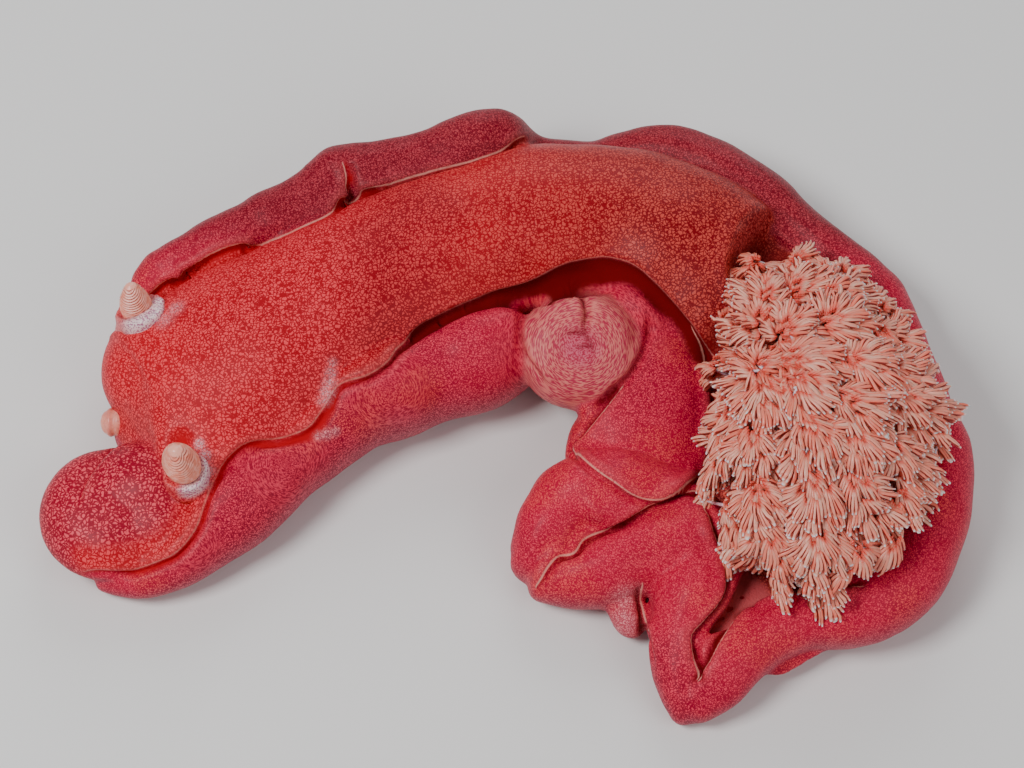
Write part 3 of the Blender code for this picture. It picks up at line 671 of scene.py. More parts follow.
class Relief:
    """What creases, hollows and frosted places do to each point of the skin."""

    def __init__(self, mesh, co, kinds):
        self.co = co
        self.kinds = kinds
        self.normals = normals_of(mesh)
        faces = [tuple(face.vertices) for face in mesh.polygons]
        self.tree = BVHTree.FromPolygons([tuple(p) for p in co], faces)
        self.moves = np.zeros_like(co)
        self.gap = np.full(len(co), 9.0)  # distance from the nearest crease's edge, mm
        self.near = np.zeros(len(co))
        self.bare = np.zeros(len(co))

    def on_top(self, x, y):
        """The highest place of the skin over a point of the plan."""
        start = in_frame(Vector((x, y, 90)))
        spot = self.tree.ray_cast(start, Vector((0, 0, -1)))[0]
        return spot if spot else start * Vector((1, 1, 0))

    def spots(self, places):
        """How near each point is to a list of places, from 0 to the place's strength."""
        out = np.zeros(len(self.co))
        for x, y, radius, strength in places:
            middle = np.array(self.on_top(x, y))
            far = np.linalg.norm(self.co - middle, axis=1) / (radius * MM)
            out = np.maximum(out, strength * np.exp(-far ** 3))
        return out

    def press_hollows(self):
        """Presses the round hollows in, and says how bare each point is in them and, on the back, in
        the hollow behind its rim; away from the front this bareness is painted dark as shade.
        """
        hollow = np.zeros(len(self.co))
        for x, y, radius, depth in HOLLOWS:
            near = self.spots([(x, y, radius, 1)])
            self.moves -= self.normals * (near * depth * MM)[:, None]
            hollow = np.maximum(hollow, near)
        return np.maximum(hollow, 0.85 * vent_shade_of(self.co) * (self.kinds == DORSUM))

    def press_crease(self, crease):
        """Presses one crease in and notes each point's distance from its edge."""
        line = crease["line"]
        count = CREASE_STEPS * (len(line) - 1) + 1
        path = [point_at(line, (len(line) - 1) * i / (count - 1)) for i in range(count)]
        spots = [self.on_top(x, y) for x, y, _ in path]
        finder = KDTree(count)
        for i, spot in enumerate(spots):
            finder.insert(spot, i)
        finder.balance()
        reach = CREASE_REACH * MM
        low = np.min([tuple(s) for s in spots], axis=0) - reach
        high = np.max([tuple(s) for s in spots], axis=0) + reach
        close = np.all((self.co > low) & (self.co < high), axis=1) & (self.normals[:, 2] > -0.3)
        for i in np.nonzero(close)[0]:
            here = Vector(self.co[i])
            spot, index, far = finder.find(here)
            if far <= reach:
                way = (spots[min(index + 1, count - 1)] - spots[max(index - 1, 0)]).normalized()
                past = index in (0, count - 1)
                self.press_point(i, crease, here - spot, way, path[index][2], index / count, past)

    def press_point(self, i, crease, off, way, bare, share, past):
        """Moves one point by its place off a crease's path, which runs along way there."""
        beyond = abs(off.dot(way)) / MM if past else 0.0
        aside = Vector((-way.y, way.x, 0)).normalized() * crease["side"]
        off -= way * off.dot(way)
        gap = off.length / MM * (1 if off.dot(aside) > 0 else -1)
        fade = math.exp(-(beyond / END_FADE) ** 2)
        taper = ease(0, 0.06, share) * ease(1, 0.94, share) * 0.7 + 0.3
        middle, width = max(1.0, 0.5 * bare), max(1.2, 0.55 * bare)
        lip = crease["lip"] * math.exp(-((gap - LIP_PLACE) / LIP_WIDTH) ** 2)
        groove = crease["depth"] * math.exp(-((gap + middle) / width) ** 2)
        lift = (lip - groove) * taper * fade
        over = crease["over"] * math.exp(-((gap - PULL_PLACE) / PULL_WIDTH) ** 2) * fade * taper
        self.moves[i] += (np.array(self.normals[i]) * lift - np.array(aside) * over) * MM
        sides = crease.get("kinds")
        if (sides and -KIND_REACH[0] < gap < KIND_REACH[1] and beyond < END_FADE
                and self.kinds[i] != COILED):
            self.kinds[i] = sides[0] if gap > 0 else sides[1]
        weight = fade * math.exp(-abs(gap) * 0.7)
        if weight > self.near[i] and crease.get("pale", True):
            self.gap[i], self.near[i] = gap, weight
        bareness = fade * float(ease(-bare - 0.5, -bare + 0.3, gap)) * float(ease(0.15, -0.25, gap))
        self.bare[i] = max(self.bare[i], bareness)


def run_in_circles(co, lies, kinds):
    """Turns the fleck lines of the coil and the whorls into circles, and says how much."""
    coil = kinds == COILED
    middle = np.array(in_frame(Vector(COIL["centre"]) + COIL_LINES))
    lies[coil] = ring_lie((co - middle)[coil], 6)
    kinds[(kinds == DORSUM) & (co[:, 2] < LOW_FLESH * MM)] = ROLL
    lined = np.zeros(len(co))
    for x, y, z, radius in WHORLS:
        off = co - np.array(in_frame(Vector((x, y, z))))
        far = np.linalg.norm(off, axis=1) / MM
        inside = (far < radius) & (kinds == ROLL)
        lies[inside] = ring_lie(off[inside], radius * 0.6)
        lined = np.maximum(lined, 0.7 * ease(radius, radius * 0.7, far) * (kinds == ROLL))
    return np.maximum(lined, coil)


def make_skin():
    """The whole body as one soft skin, pressed, wrinkled and marked for its finish."""
    flesh = gather_flesh()
    mesh = thin_underside(one_skin(flesh))
    pairs = values_of(mesh.edges, "vertices", 2, np.int64)
    co = averaged(values_of(mesh.vertices, "co", 3), pairs, 3)
    lies, kinds = lie_of_skin(co, flesh)
    put_positions(mesh, co)
    relief = Relief(mesh, co, kinds)
    for crease in CREASES:
        relief.press_crease(crease)
    hollow = relief.press_hollows()
    frost = relief.spots(FROSTS)
    relief.moves += relief.normals * (frost * 0.25 * MM)[:, None]
    round_hollows = relief.spots([(x, y, radius * 2.2, 1) for x, y, radius, _ in HOLLOWS])
    lined = run_in_circles(co, lies, kinds)
    co = co + relief.moves
    put_positions(mesh, co)
    normals = normals_of(mesh)
    # How far a point stands out of, or lies below, its surroundings.
    near = averaged(co, pairs, 10)
    wide = averaged(near, pairs, 50)
    fine_relief = np.einsum("ij,ij->i", co - near, normals) / MM
    wide_relief = np.einsum("ij,ij->i", co - wide, normals) / MM
    # Points that lie well below their surroundings are painted dark, as shade in recesses.
    recess_shade = ease(0.9, 2.6, -wide_relief)
    wrinkle = np.array([sum(noise.noise(Vector(p) * pace) * height for pace, height in WRINKLES)
                        for p in co])
    put_positions(mesh, co + normals * (wrinkle * MM)[:, None])

    def marked(where, rounds):
        return averaged(where.astype(float), pairs, rounds)

    fields = {
        "lie": lies,
        "rolled": marked(np.isin(kinds, (ROLL, COILED, SHEET)), 2),
        "lined": marked(lined, 3),
        "coiled": marked(kinds == COILED, 3),
        "lobed": marked(kinds == LOBE, 20),
        "inner": marked(kinds == INNER, 3),
        "under": marked(kinds == FOOT, 4),
        # Bare: flecks taken out, and away from the front painted dark as shade in creases, hollows,
        # recesses and the vent hollow.
        "bare": marked(np.maximum(np.maximum(relief.bare, recess_shade), hollow), 1),
        "frost": frost,
        "flank": ease(0.55, -0.25, normals[:, 2]),
        "rim": marked(ease(0.12, 0.5, fine_relief), 1) * (1 - round_hollows),
        "gap": np.clip(relief.gap, -4, 4),
        "near": relief.near,
    }
    for name, values in fields.items():
        put_attribute(mesh, name, values)
    return shown("skin", mesh, flesh_material())


# Finishes.


def in_use(sockets, name):
    """The socket with a name or a number; of several with one name, the one in use."""
    if isinstance(name, int):
        return sockets[name]
    return next(socket for socket in sockets if socket.enabled and socket.name == name)


class Nodes:
    """A node tree, with short names for the nodes that are used often."""

    def __init__(self, tree):
        self.tree = tree

    def feed(self, socket, value):
        """Links a socket, or sets it to a number, a vector or a colour."""
        if isinstance(value, bpy.types.NodeSocket):
            self.tree.links.new(value, socket)
        elif socket.type == "RGBA":
            socket.default_value = (*value, 1)
        else:
            socket.default_value = value

    def put(self, kind, inputs=None, **settings):
        """A new node with its settings, and with its inputs fed."""
        made = self.tree.nodes.new(kind)
        for key, value in settings.items():
            setattr(made, key, value)
        for name, value in (inputs or {}).items():
            self.feed(in_use(made.inputs, name), value)
        return made

    def math(self, operation, first, second=0.5):
        return self.put("ShaderNodeMath", {0: first, 1: second}, operation=operation).outputs[0]

    def times(self, first, second):
        return self.math("MULTIPLY", first, second)

    def part(self, vector, place):
        """One number of a vector: 0, 1 or 2."""
        return self.put("ShaderNodeSeparateXYZ", {0: vector}).outputs[place]

    def noise(self, vector, scale, detail=0.0, distortion=0.0, output="Fac"):
        inputs = {"Vector": vector, "Scale": scale, "Detail": detail, "Distortion": distortion}
        return self.put("ShaderNodeTexNoise", inputs).outputs[output]


class Finish(Nodes):
    """The nodes of a material."""

    def __init__(self, name):
        self.material = bpy.data.materials.new(name)
        self.material.use_nodes = True
        super().__init__(self.material.node_tree)
        self.shader = self.tree.nodes["Principled BSDF"]

    def place(self):
        return self.put("ShaderNodeTexCoord").outputs["Object"]

    def attribute(self, name, output="Fac"):
        return self.put("ShaderNodeAttribute", attribute_name=name).outputs[output]

    def step(self, value, low, high):
        """0 at low and 1 at high, with a smooth rise; low may be the larger of the two."""
        inputs = {"Value": value, "From Min": low, "From Max": high}
        return self.put("ShaderNodeMapRange", inputs, interpolation_type="SMOOTHSTEP").outputs[0]

    def blend(self, share, first, second, kind="FLOAT"):
        """Mixes two numbers."""
        inputs = {"Factor": share, "A": first, "B": second}
        return in_use(self.put("ShaderNodeMix", inputs, data_type=kind).outputs, "Result")

    def mix(self, share, first, second):
        """Mixes two colours."""
        return self.blend(share, first, second, "RGBA")

    def over(self, colour, *layers):
        """Lays more colours over one, each as (where, how much, colour)."""
        for where, much, upper in layers:
            colour = self.mix(where if much == 1 else self.times(where, much), colour, upper)
        return colour

    def bump(self, height, distance, strength):
        """Small relief; the distance is in mm."""
        inputs = {"Strength": strength, "Distance": distance * MM, "Height": height}
        normal = self.put("ShaderNodeBump", inputs).outputs["Normal"]
        self.feed(self.shader.inputs["Normal"], normal)

    def soft(self, colour, depth, radius, roughness, coat, specular=0.38):
        """Soft wet flesh: light goes in a little, and a film lies on top."""
        for name, value in {
            "Base Color": colour, "Roughness": roughness, "Specular IOR Level": specular,
            "Subsurface Weight": depth, "Subsurface Radius": (1.0, 0.28, 0.18),
            "Subsurface Scale": radius * MM, "Coat Weight": coat, "Coat Roughness": 0.18,
        }.items():
            self.feed(self.shader.inputs[name], value)


def flesh_material():
    """Red flesh with pale flecks like grains of rice, finer and in lines on the rolled edge."""
    f = Finish("flesh")
    place = f.place()
    lie = f.attribute("lie", "Vector")
    rolled, coiled, lined = f.attribute("rolled"), f.attribute("coiled"), f.attribute("lined")
    lobed, under, inner = f.attribute("lobed"), f.attribute("under"), f.attribute("inner")
    bare, frost, flank = f.attribute("bare"), f.attribute("frost"), f.attribute("flank")
    rim, gap, near = f.attribute("rim"), f.attribute("gap"), f.attribute("near")

    def grains(scale, low, high, bend):
        """Rounded, slightly bent grains at an even pace, parted by fine red lines."""
        warp = f.noise(place, scale * 0.8, output="Color")
        shifted = f.put("ShaderNodeVectorMath", {0: warp, 1: (bend / scale,) * 3, 2: place},
                        operation="MULTIPLY_ADD").outputs[0]
        cells = f.put("ShaderNodeTexVoronoi",
                      {"Vector": shifted, "Scale": scale, "Randomness": 0.75},
                      feature="DISTANCE_TO_EDGE")
        # Here and there the grains lie closer or further apart.
        loose = f.times(f.math("SUBTRACT", f.noise(place, 160, 1.0), 0.5), 0.09)
        return f.step(f.math("SUBTRACT", cells.outputs["Distance"], loose), low, high)

    def worms(scale, low, high):
        """Short bent lines along the lie of the flesh."""
        return f.step(f.noise(lie, scale, 0.4, 0.3), low, high)

    # Flecks of the back are largest on the front lobe; those of the roll are finer.
    back_flecks = f.blend(f.step(lobed, 0.1, 0.8), grains(1060, 0.085, 0.20, 1.3),
                          grains(960, 0.09, 0.24, 1.5))
    spots = grains(1380, 0.08, 0.21, 1.8)
    lines = f.blend(coiled, worms(3200, 0.40, 0.60), worms(4000, 0.38, 0.60))
    roll_flecks = f.blend(lined, spots, lines)

    # Both colours change slowly over the body, and from its front to its rear; the roll is darkened
    # towards the far side as painted shade.
    broad = f.step(f.noise(place, 20, 2.0), 0.36, 0.64)
    patchy = f.step(f.noise(place, 45, 1.0), 0.50, 0.62)
    front = f.step(f.part(place, 0), -0.030, -0.052)
    rear = f.step(f.part(place, 0), -0.030, 0.050)
    far = f.step(f.part(place, 1), 0.030, 0.052)
    heart = f.step(f.part(lie, 2), 0.1085, 0.1030)
    back_base = f.over(f.mix(broad, (0.28, 0, 0.008), (0.46, 0, 0.010)),
                       (rear, 0.8, (0.19, 0, 0.004)),
                       (front, 0.5, (0.50, 0, 0.010)),
                       (lobed, 0.7, (0.24, 0, 0.022)))
    back_fleck = f.over(f.mix(broad, (0.68, 0.045, 0.050), (0.80, 0.060, 0.058)),
                        (rear, 0.8, (0.56, 0.066, 0.046)),
                        (front, 0.7, (0.98, 0.060, 0.080)),
                        (lobed, 0.7, (0.84, 0.085, 0.125)),
                        (flank, 0.5, (0.60, 0.11, 0.12)))
    # The roll's ground and flecks are darker on the far side: painted shade.
    roll_base = f.over(f.mix(broad, (0.28, 0, 0.022), (0.46, 0, 0.034)),
                       (far, 0.9, (0.16, 0, 0.010)),
                       (flank, 0.6, (0.24, 0, 0.030)),
                       (coiled, 1, (0.44, 0.025, 0.065)))
    roll_fleck = f.over(f.mix(patchy, (0.80, 0.040, 0.085), (0.84, 0.062, 0.075)),
                        (far, 0.9, (0.42, 0.040, 0.055)),
                        (flank, 0.75, (0.60, 0.13, 0.17)),
                        (coiled, 1, f.mix(heart, (0.72, 0.17, 0.15), (0.66, 0.12, 0.18))))
    colour = f.mix(rolled, f.mix(back_flecks, back_base, back_fleck),
                   f.mix(roll_flecks, roll_base, roll_fleck))
    # The inner mantle is smooth and pink with a few red spots.
    blots = f.step(f.noise(place, 330), 0.68, 0.72)
    veiled = f.mix(f.noise(place, 90, 2.0), (0.52, 0.02, 0.04), (0.92, 0.20, 0.20))
    # A pale lip runs along the edge of a sheet, and the crease under it is bare: plain red at the
    # front, and elsewhere painted dark as shade, as are the recesses and hollows.
    lip = f.times(f.step(gap, 0.05, 0.25), f.step(gap, 0.72, 0.38))
    lip = f.times(f.times(lip, f.step(near, 0.55, 0.8)), f.blend(rolled, 0.08, 0.62))
    colour = f.over(colour,
                    (inner, 1, f.mix(blots, veiled, (0.36, 0, 0.012))),
                    (rim, 0.12, (0.80, 0.20, 0.18)),
                    (bare, 1, f.mix(front, (0.155, 0, 0.002), (0.46, 0, 0.008))),
                    (lip, 1, (1.0, 0.46, 0.36)),
                    (f.times(frost, f.blend(spots, 0.25, 0.92)), 1, (0.80, 0.50, 0.54)),
                    (under, 1, (0.40, 0.03, 0.04)))
    flecks = f.times(f.blend(rolled, back_flecks, roll_flecks), f.math("SUBTRACT", 1.0, bare))
    f.bump(flecks, 0.10, 0.5)
    f.soft(colour, 0.05, 0.5, f.blend(bare, 0.42, 0.95), 0.0, specular=0.16)
    return f.material


def feeler_material():
    """Smooth peach flesh, redder in soft patches and finely grained."""
    f = Finish("mouth_feeler")
    place = f.place()
    grain = f.noise(place, 1200, 1.0)
    cloud = f.step(f.noise(place, 220, 1.0), 0.40, 0.62)
    colour = f.over(f.mix(cloud, (0.86, 0.24, 0.17), (0.96, 0.36, 0.26)),
                    (f.step(grain, 0.45, 0.6), 0.35, (0.72, 0.18, 0.17)))
    f.bump(grain, 0.06, 0.5)
    f.soft(colour, 0.2, 1.2, 0.4, 0.1)
    return f.material


def club_material():
    """Peach leaves with darker grooves between them, and a paler tip."""
    f = Finish("club")
    along = f.part(f.attribute("lie", "Vector"), 0)
    grain = f.noise(f.place(), 700, 1.0)
    pale = f.mix(f.step(grain, 0.4, 0.6), (0.92, 0.28, 0.19), (1.0, 0.42, 0.32))
    leaves = f.mix(f.step(f.attribute("leaf"), 0.06, 0.50), (0.40, 0.05, 0.03), pale)
    colour = f.mix(f.step(along, 0.16, 0.28), (0.62, 0.16, 0.18), leaves)
    colour = f.mix(f.step(along, 0.92, 1.0), colour, (0.98, 0.42, 0.32))
    f.bump(grain, 0.05, 0.5)
    f.soft(colour, 0.15, 0.8, 0.34, 0.2)
    return f.material


def collar_material():
    """Frosted lilac-white with purple specks on one side, red as the back on the other."""
    f = Finish("collar")
    along = f.part(f.attribute("lie", "Vector"), 0)
    spots = f.step(f.noise(f.place(), 2100, 0.5), 0.38, 0.52)
    frosted = f.mix(spots, (0.46, 0.17, 0.28), (0.90, 0.68, 0.68))
    plain = f.mix(spots, (0.46, 0, 0.02), (0.80, 0.10, 0.10))
    colour = f.over(f.mix(f.attribute("frost"), plain, frosted),
                    (f.step(along, 0.22, 0.06), 1, plain),
                    (f.step(along, 0.74, 0.84), 1, (0.62, 0.13, 0.11)))
    f.bump(spots, 0.1, 0.6)
    f.soft(colour, 0.12, 0.8, 0.36, 0.2)
    return f.material


def leaflet_material():
    """Peach ribbons with a fine dark red line that is partly a vein and partly painted shade, white at
    the tip.
    """
    f = Finish("leaflet")
    along, across = f.attribute("along"), f.attribute("across")
    base = f.mix(f.attribute("tint"), (0.95, 0.19, 0.12), (1.0, 0.42, 0.31))
    # A fine dark red line runs down the side of each ribbon, where it meets the next: partly a red
    # vein, partly painted shade between the ribbons.
    side = f.step(f.math("ABSOLUTE", across), 0.24, 0.36)
    vessel_and_shade = f.times(side, f.times(f.step(along, 0.30, 0.42), f.step(along, 0.94, 0.82)))
    colour = f.over(base,
                    (f.step(along, 0.35, 0.0), 1, (0.80, 0.09, 0.06)),
                    (vessel_and_shade, 0.9, (0.26, 0.004, 0.004)),
                    (f.step(along, 0.90, 0.99), 1, (1.0, 0.86, 0.84)))
    f.soft(colour, 0.35, 1.2, 0.36, 0.15)
    return f.material


def branch_material():
    """White to lilac-grey axes."""
    f = Finish("gill_branch")
    streak = f.step(f.noise(f.place(), 260, 2.0), 0.42, 0.60)
    f.soft(f.mix(streak, (0.72, 0.46, 0.52), (0.90, 0.82, 0.86)), 0.2, 1.0, 0.30, 0.2)
    return f.material


# The feelers: two rhinophores in their collars, and two feelers by the mouth.

RHINOPHORES = {
    "left": {"base": (-84.5, -32.2, 22.5), "axis": (-0.06, -0.10, 1.0), "collar": 2.6, "seed": 5,
             "frosted": -30, "bulge": 0.3, "size": 1.0, "girth": 0.86, "rise": 0.9},
    "right": {"base": (-100, 14.5, 22.0), "axis": (-0.08, 0.22, 1.0), "collar": 4.4, "seed": 9,
              "frosted": -45, "bulge": 2.2, "size": 0.84, "girth": 0.90, "rise": 2.3},
}
LEAF_PITCH = 0.86  # distance between the leaves of a club, mm
LEAF_DEPTH = 0.55
LEAVES_FROM, LEAVES_TO = 5.0, 17.6  # heights where the leaves begin and end
LEAFLESS = 0.75  # the finish's value for a place that has no leaves
CLUB_OUTLINE = [  # height and radius of the club, from the stalk up
    (0.0, 2.8), (3.0, 3.2), (4.6, 4.2), (6.0, 4.8), (7.6, 5.1), (9.6, 5.2), (12.6, 4.6),
    (15.8, 3.3), (17.6, 2.1), (18.4, 0.9),
]
CLUB_ROWS, CLUB_COLUMNS = 170, 84
CLUB_FLAT = 0.9  # the club's depth over its width
COLLAR_COLUMNS = 64
ORAL_TENTACLES = {  # root, tip and radius
    "left": ((-98, -22, 9), (-111, -23, 6), 4.0),
    "right": ((-96, -8.6, 9.6), (-110.6, -8.9, 9.6), 3.7),
}
TENTACLE_ROWS, TENTACLE_COLUMNS = 33, 32
TENTACLE_ROUND = 0.8  # share of its length where the tip begins to round off


def outline_radius(outline, height):
    """The radius at a height, half eased and half straight between two places."""
    for (h0, r0), (h1, r1) in zip(outline, outline[1:]):
        if height <= h1:
            u = ease(0, 1, (height - h0) / (h1 - h0)) * 0.5 + 0.5 * (height - h0) / (h1 - h0)
            return r0 + (r1 - r0) * u
    return outline[-1][1]


def planted(side):
    """One rhinophore's values, its foot, and the turn that stands it along its axis."""
    shape = RHINOPHORES[side]
    turn = Vector(shape["axis"]).normalized().to_track_quat("Z", "Y").to_matrix()
    return shape, Vector(shape["base"]), turn


def make_club(side, material):
    """The club: thin oblique leaves stacked round a flattened, tapering stalk."""
    shape, base, turn = planted(side)
    size, top = shape["size"], CLUB_OUTLINE[-1][0]
    rings, edges = [], []
    for i in range(CLUB_ROWS + 1):
        height = top * i / CLUB_ROWS
        radius = outline_radius(CLUB_OUTLINE, height)
        depth = LEAF_DEPTH * ease(LEAVES_FROM, LEAVES_FROM + 1.4, height) * ease(18.4, 17.0, height)
        ring = []
        for k in range(CLUB_COLUMNS):
            angle = 2 * math.pi * k / CLUB_COLUMNS
            # Leaves slope down from front and back to the sides.
            slope = 2.4 * abs(math.sin(angle)) ** 1.4 + 1.6 * math.cos(angle + 0.6)
            leaf = (height + slope) / LEAF_PITCH
            edge = 1 - abs(2 * (leaf - math.floor(leaf)) - 1)
            reach = (radius - depth * (1 - edge ** 0.7)) * size
            edges.append(edge if LEAVES_FROM < height < LEAVES_TO else LEAFLESS)
            ring.append(base + turn @ Vector((reach * math.cos(angle),
                                              reach * CLUB_FLAT * math.sin(angle),
                                              height * size)))
        rings.append(ring)
    club = ringed_piece("rhinophore_club_" + side, rings, material)
    put_attribute(club.data, "leaf", np.array(edges + [LEAFLESS] * 2))
    return club


def make_collar(side, material):
    """The raised collar round the club's foot, its rim thin and uneven."""
    shape, base, turn = planted(side)
    top = shape["collar"] + 2.6
    profile = [  # radius and height, up the outside, over the rim and down inside
        (8.2, -1.5), (7.7, 0.0), (7.3, 1.2), (7.1, 2.4), (7.0, top - 1.4), (6.9, top - 0.6),
        (6.6, top), (6.3, top + 0.2), (5.9, top + 0.1), (5.4, top - 0.3), (4.8, top - 0.6),
        (4.2, top - 0.8), (3.2, top - 0.9), (1.0, top - 1.0),
    ]
    rings, frosts = [], []
    for radius, height in profile:
        lift = ease(1.0, top, height)
        ring = []
        for k in range(COLLAR_COLUMNS):
            angle = 2 * math.pi * k / COLLAR_COLUMNS
            way = turn @ Vector((math.cos(angle), math.sin(angle), 0))
            facing = math.cos(math.atan2(way.y, way.x) - math.radians(shape["frosted"]))
            frosts.append(float(ease(0.05, 0.70, facing)))
            place = Vector((math.cos(angle), math.sin(angle), shape["seed"]))
            wave = noise.noise(place * 1.6)
            fine = noise.noise(place * 5.0 + Vector((0, 0, height * 0.2)))
            reach = radius * shape["girth"] * (1 + 0.08 * wave * lift)
            reach += 0.25 * fine * lift
            swell = ease(0.5, 2.5, height) * ease(5.2, 6.8, radius) * max(0.0, facing)
            reach += shape["bulge"] * swell
            tilt = shape["rise"] * facing - 0.7
            ring.append(base + turn @ Vector((reach * math.cos(angle), reach * math.sin(angle),
                                              height + (0.7 * wave + 0.3 * fine + tilt) * lift)))
        rings.append(ring)
    collar = ringed_piece("rhinophore_collar_" + side, rings, material)
    put_attribute(collar.data, "frost", np.array(frosts + [0.0, 0.0]))
    return collar


def make_tentacle(side, material):
    """A short blunt feeler beside the mouth."""
    root, tip, size = ORAL_TENTACLES[side]
    root, tip = Vector(root), Vector(tip)
    ahead = (tip - root).normalized()
    out = Vector((-ahead.y, ahead.x, 0)).normalized()
    up = ahead.cross(out).normalized()
    length = (tip - root).length
    rings = []
    for i in range(TENTACLE_ROWS):
        u = i / (TENTACLE_ROWS - 1)
        past = max(0.0, u - TENTACLE_ROUND) / 0.205
        here = size * math.sqrt(max(0.0, 1 - past ** 2)) * (1 + 0.05 * math.sin(u * 40))
        middle = root + ahead * length * u
        angles = [2 * math.pi * k / TENTACLE_COLUMNS for k in range(TENTACLE_COLUMNS)]
        rings.append([middle + out * here * math.cos(a) + up * here * 1.05 * math.sin(a)
                      for a in angles])
    return ringed_piece("mouth_feeler_" + side, rings, material)


# The gills: six plumes round the vent, whose ribbons make one shaggy crown.

SEED = 29
GILL_CENTRE = Vector((80, -22, 0))
GILL_RING = 10.0  # distance of the stems' feet from the centre
GILLS = [  # name and heading in plan
    ("gill_1", 102), ("gill_2", 38), ("gill_3", -16), ("gill_4", -68), ("gill_5", -124),
    ("gill_6", 168),
]
FOOT_HEIGHT, ELBOW_HEIGHT = 14, 25  # of a stem
CROWN_START = 16  # how far from the centre a stem reaches the crown
ROD_STEPS = 12
ARM_ROOTS = (7, 8, 9, 10)  # the stem's points that arms may leave from
ARMS = [  # turn from the gill's heading, share of the crown's reach there
    (-24, 0.80), (-12, 0.84), (0, 0.86), (12, 0.84), (24, 0.80), (-17, 0.52), (0, 0.56),
    (17, 0.52), (-14, 0.25), (14, 0.25),
]
TWIG_RADII = [0.55, 0.48, 0.40, 0.25]
CROWN_OUTLINE = [  # turn in plan and the crown's reach there
    (-180, 31), (-158, 34), (-145, 37), (-121, 47), (-103, 51), (-77, 48), (-64, 46), (-48, 38),
    (-28, 34), (13, 37), (53, 39), (72, 52), (104, 57), (111, 61), (126, 45), (139, 36),
    (164, 30), (180, 31),
]
CROWN_TOP = 51.5
CROWN_FALL = 21.5  # how much lower the crown is at its edge
CROWN_REACH = 46.0  # how far from the middle the crown falls away steeply
TUFT_PITCH = 3.4
TUFT_FIELD = 75  # how far from the centre places for tufts are tried
TUFT_EDGE = 0.88  # how far out the last tufts stand, as a share of the crown's reach
# Lower rows under the crown's edge: from what share of its reach, and how far down.
SKIRT = [(0.60, 6.0), (0.70, 11.5)]
SKIRT_SHARE = 0.55  # share of the tufts there that have one below them
CUSHION_PITCH = 12.5  # distance between the cushions that the tufts gather in
CUSHION_RISE = 5.5
# Places where the white branches show between the tufts: x, y and radius.
BARE_PLACES = [
    (57, -8, 4.5), (72, 4, 3.2), (53, -42, 3), (62, -31, 2.4), (80, -46, 2.8), (95, -46, 3.5),
]
FLOW_CENTRE = Vector((62, -14, 0))  # where the ribbons flow away from
LEAFLETS_PER_TUFT = 15
LEAFLET_LENGTH = 6.6
LEAFLET_WIDTH = 1.22
LEAFLET_THICK = 0.95
WEB_WIDTH = 2.4  # width of the ribbons of the lower layer, which make one web
# Outline of a leaflet, narrow at the root and drawn in at the tip: share of its length, width.
LEAFLET_OUTLINE = [(0.0, 0.45), (0.25, 0.84), (0.60, 1.0), (0.90, 0.96), (1.0, 0.34)]
LEAFLET_BEND = 1.6  # how far the tip bends over, as a share of the thickness
# Two clouds that shake the tips: name of the input, amount in mm, and how many to a metre.
LEAFLET_SHAKES = [("Ripple", 1.9, 260.0), ("Sway", 5.0, 70.0)]
PATCH = 0.003  # size of a leaflet's patch in its map
PATCH_REACH = 70  # distance from the centre that the map's edge stands for, mm


def plan_way(degrees):
    return Vector((math.cos(math.radians(degrees)), math.sin(math.radians(degrees)), 0))


def turn_of(off):
    """The heading in plan of a way, in degrees from -180 to 180."""
    return math.degrees(math.atan2(off.y, off.x))


def crown_reach(degrees):
    return float(np.interp(degrees, *zip(*CROWN_OUTLINE)))


def cushion_of(x, y):
    """The cushion that a place in plan belongs to: how far off its middle is, and where."""
    found = []
    column, row = round(x / CUSHION_PITCH), round(y / CUSHION_PITCH)
    for i in range(column - 2, column + 3):
        for k in range(row - 2, row + 3):
            off = noise.noise_vector(Vector((i * 1.7 + 0.3, k * 2.3 + 0.7, 4.1))) * 0.55
            middle = Vector((i + off.x, k + off.y, 0)) * CUSHION_PITCH
            found.append((math.hypot(x - middle.x, y - middle.y), middle))
    return min(found, key=lambda pair: pair[0])


def on_crown(x, y):
    """The point of the crown's soft top over a place in plan, and how far out it lies."""
    place = Vector((x, y, 0))
    off = place - GILL_CENTRE
    share = off.length / crown_reach(turn_of(off))
    swell = 2.2 * noise.noise(place * 0.10)
    swell += CUSHION_RISE * (0.5 - (cushion_of(x, y)[0] / (0.62 * CUSHION_PITCH)) ** 2)
    return Vector((x, y, CROWN_TOP - CROWN_FALL * share ** 2 + swell)), share


def tuft_places(draw):
    """Even, slightly shaken places over the crown, for the gill that each belongs to."""
    places = {name: [] for name, _ in GILLS}
    steps = int(TUFT_FIELD / TUFT_PITCH)
    for i in range(-steps, steps + 1):
        for k in range(-steps, steps + 1):
            x = GILL_CENTRE.x + (i + 0.5 * (k % 2)) * TUFT_PITCH + draw.uniform(-1, 1)
            y = GILL_CENTRE.y + k * TUFT_PITCH * 0.87 + draw.uniform(-1, 1)
            at, share = on_crown(x, y)
            bare = any(math.hypot(x - bx, y - by) < radius for bx, by, radius in BARE_PLACES)
            if bare or share > TUFT_EDGE + 0.16 * noise.noise(Vector((x, y, 0)) * 0.17):
                continue
            turn = math.degrees(math.atan2(y - GILL_CENTRE.y, x - GILL_CENTRE.x))
            nearest = min(GILLS, key=lambda gill: abs((turn - gill[1] + 180) % 360 - 180))
            places[nearest[0]].append(at)
            for lowest_share, drop in SKIRT:
                if share > lowest_share and draw.random() < SKIRT_SHARE:
                    places[nearest[0]].append(at - Vector((0, 0, drop)))
    return places


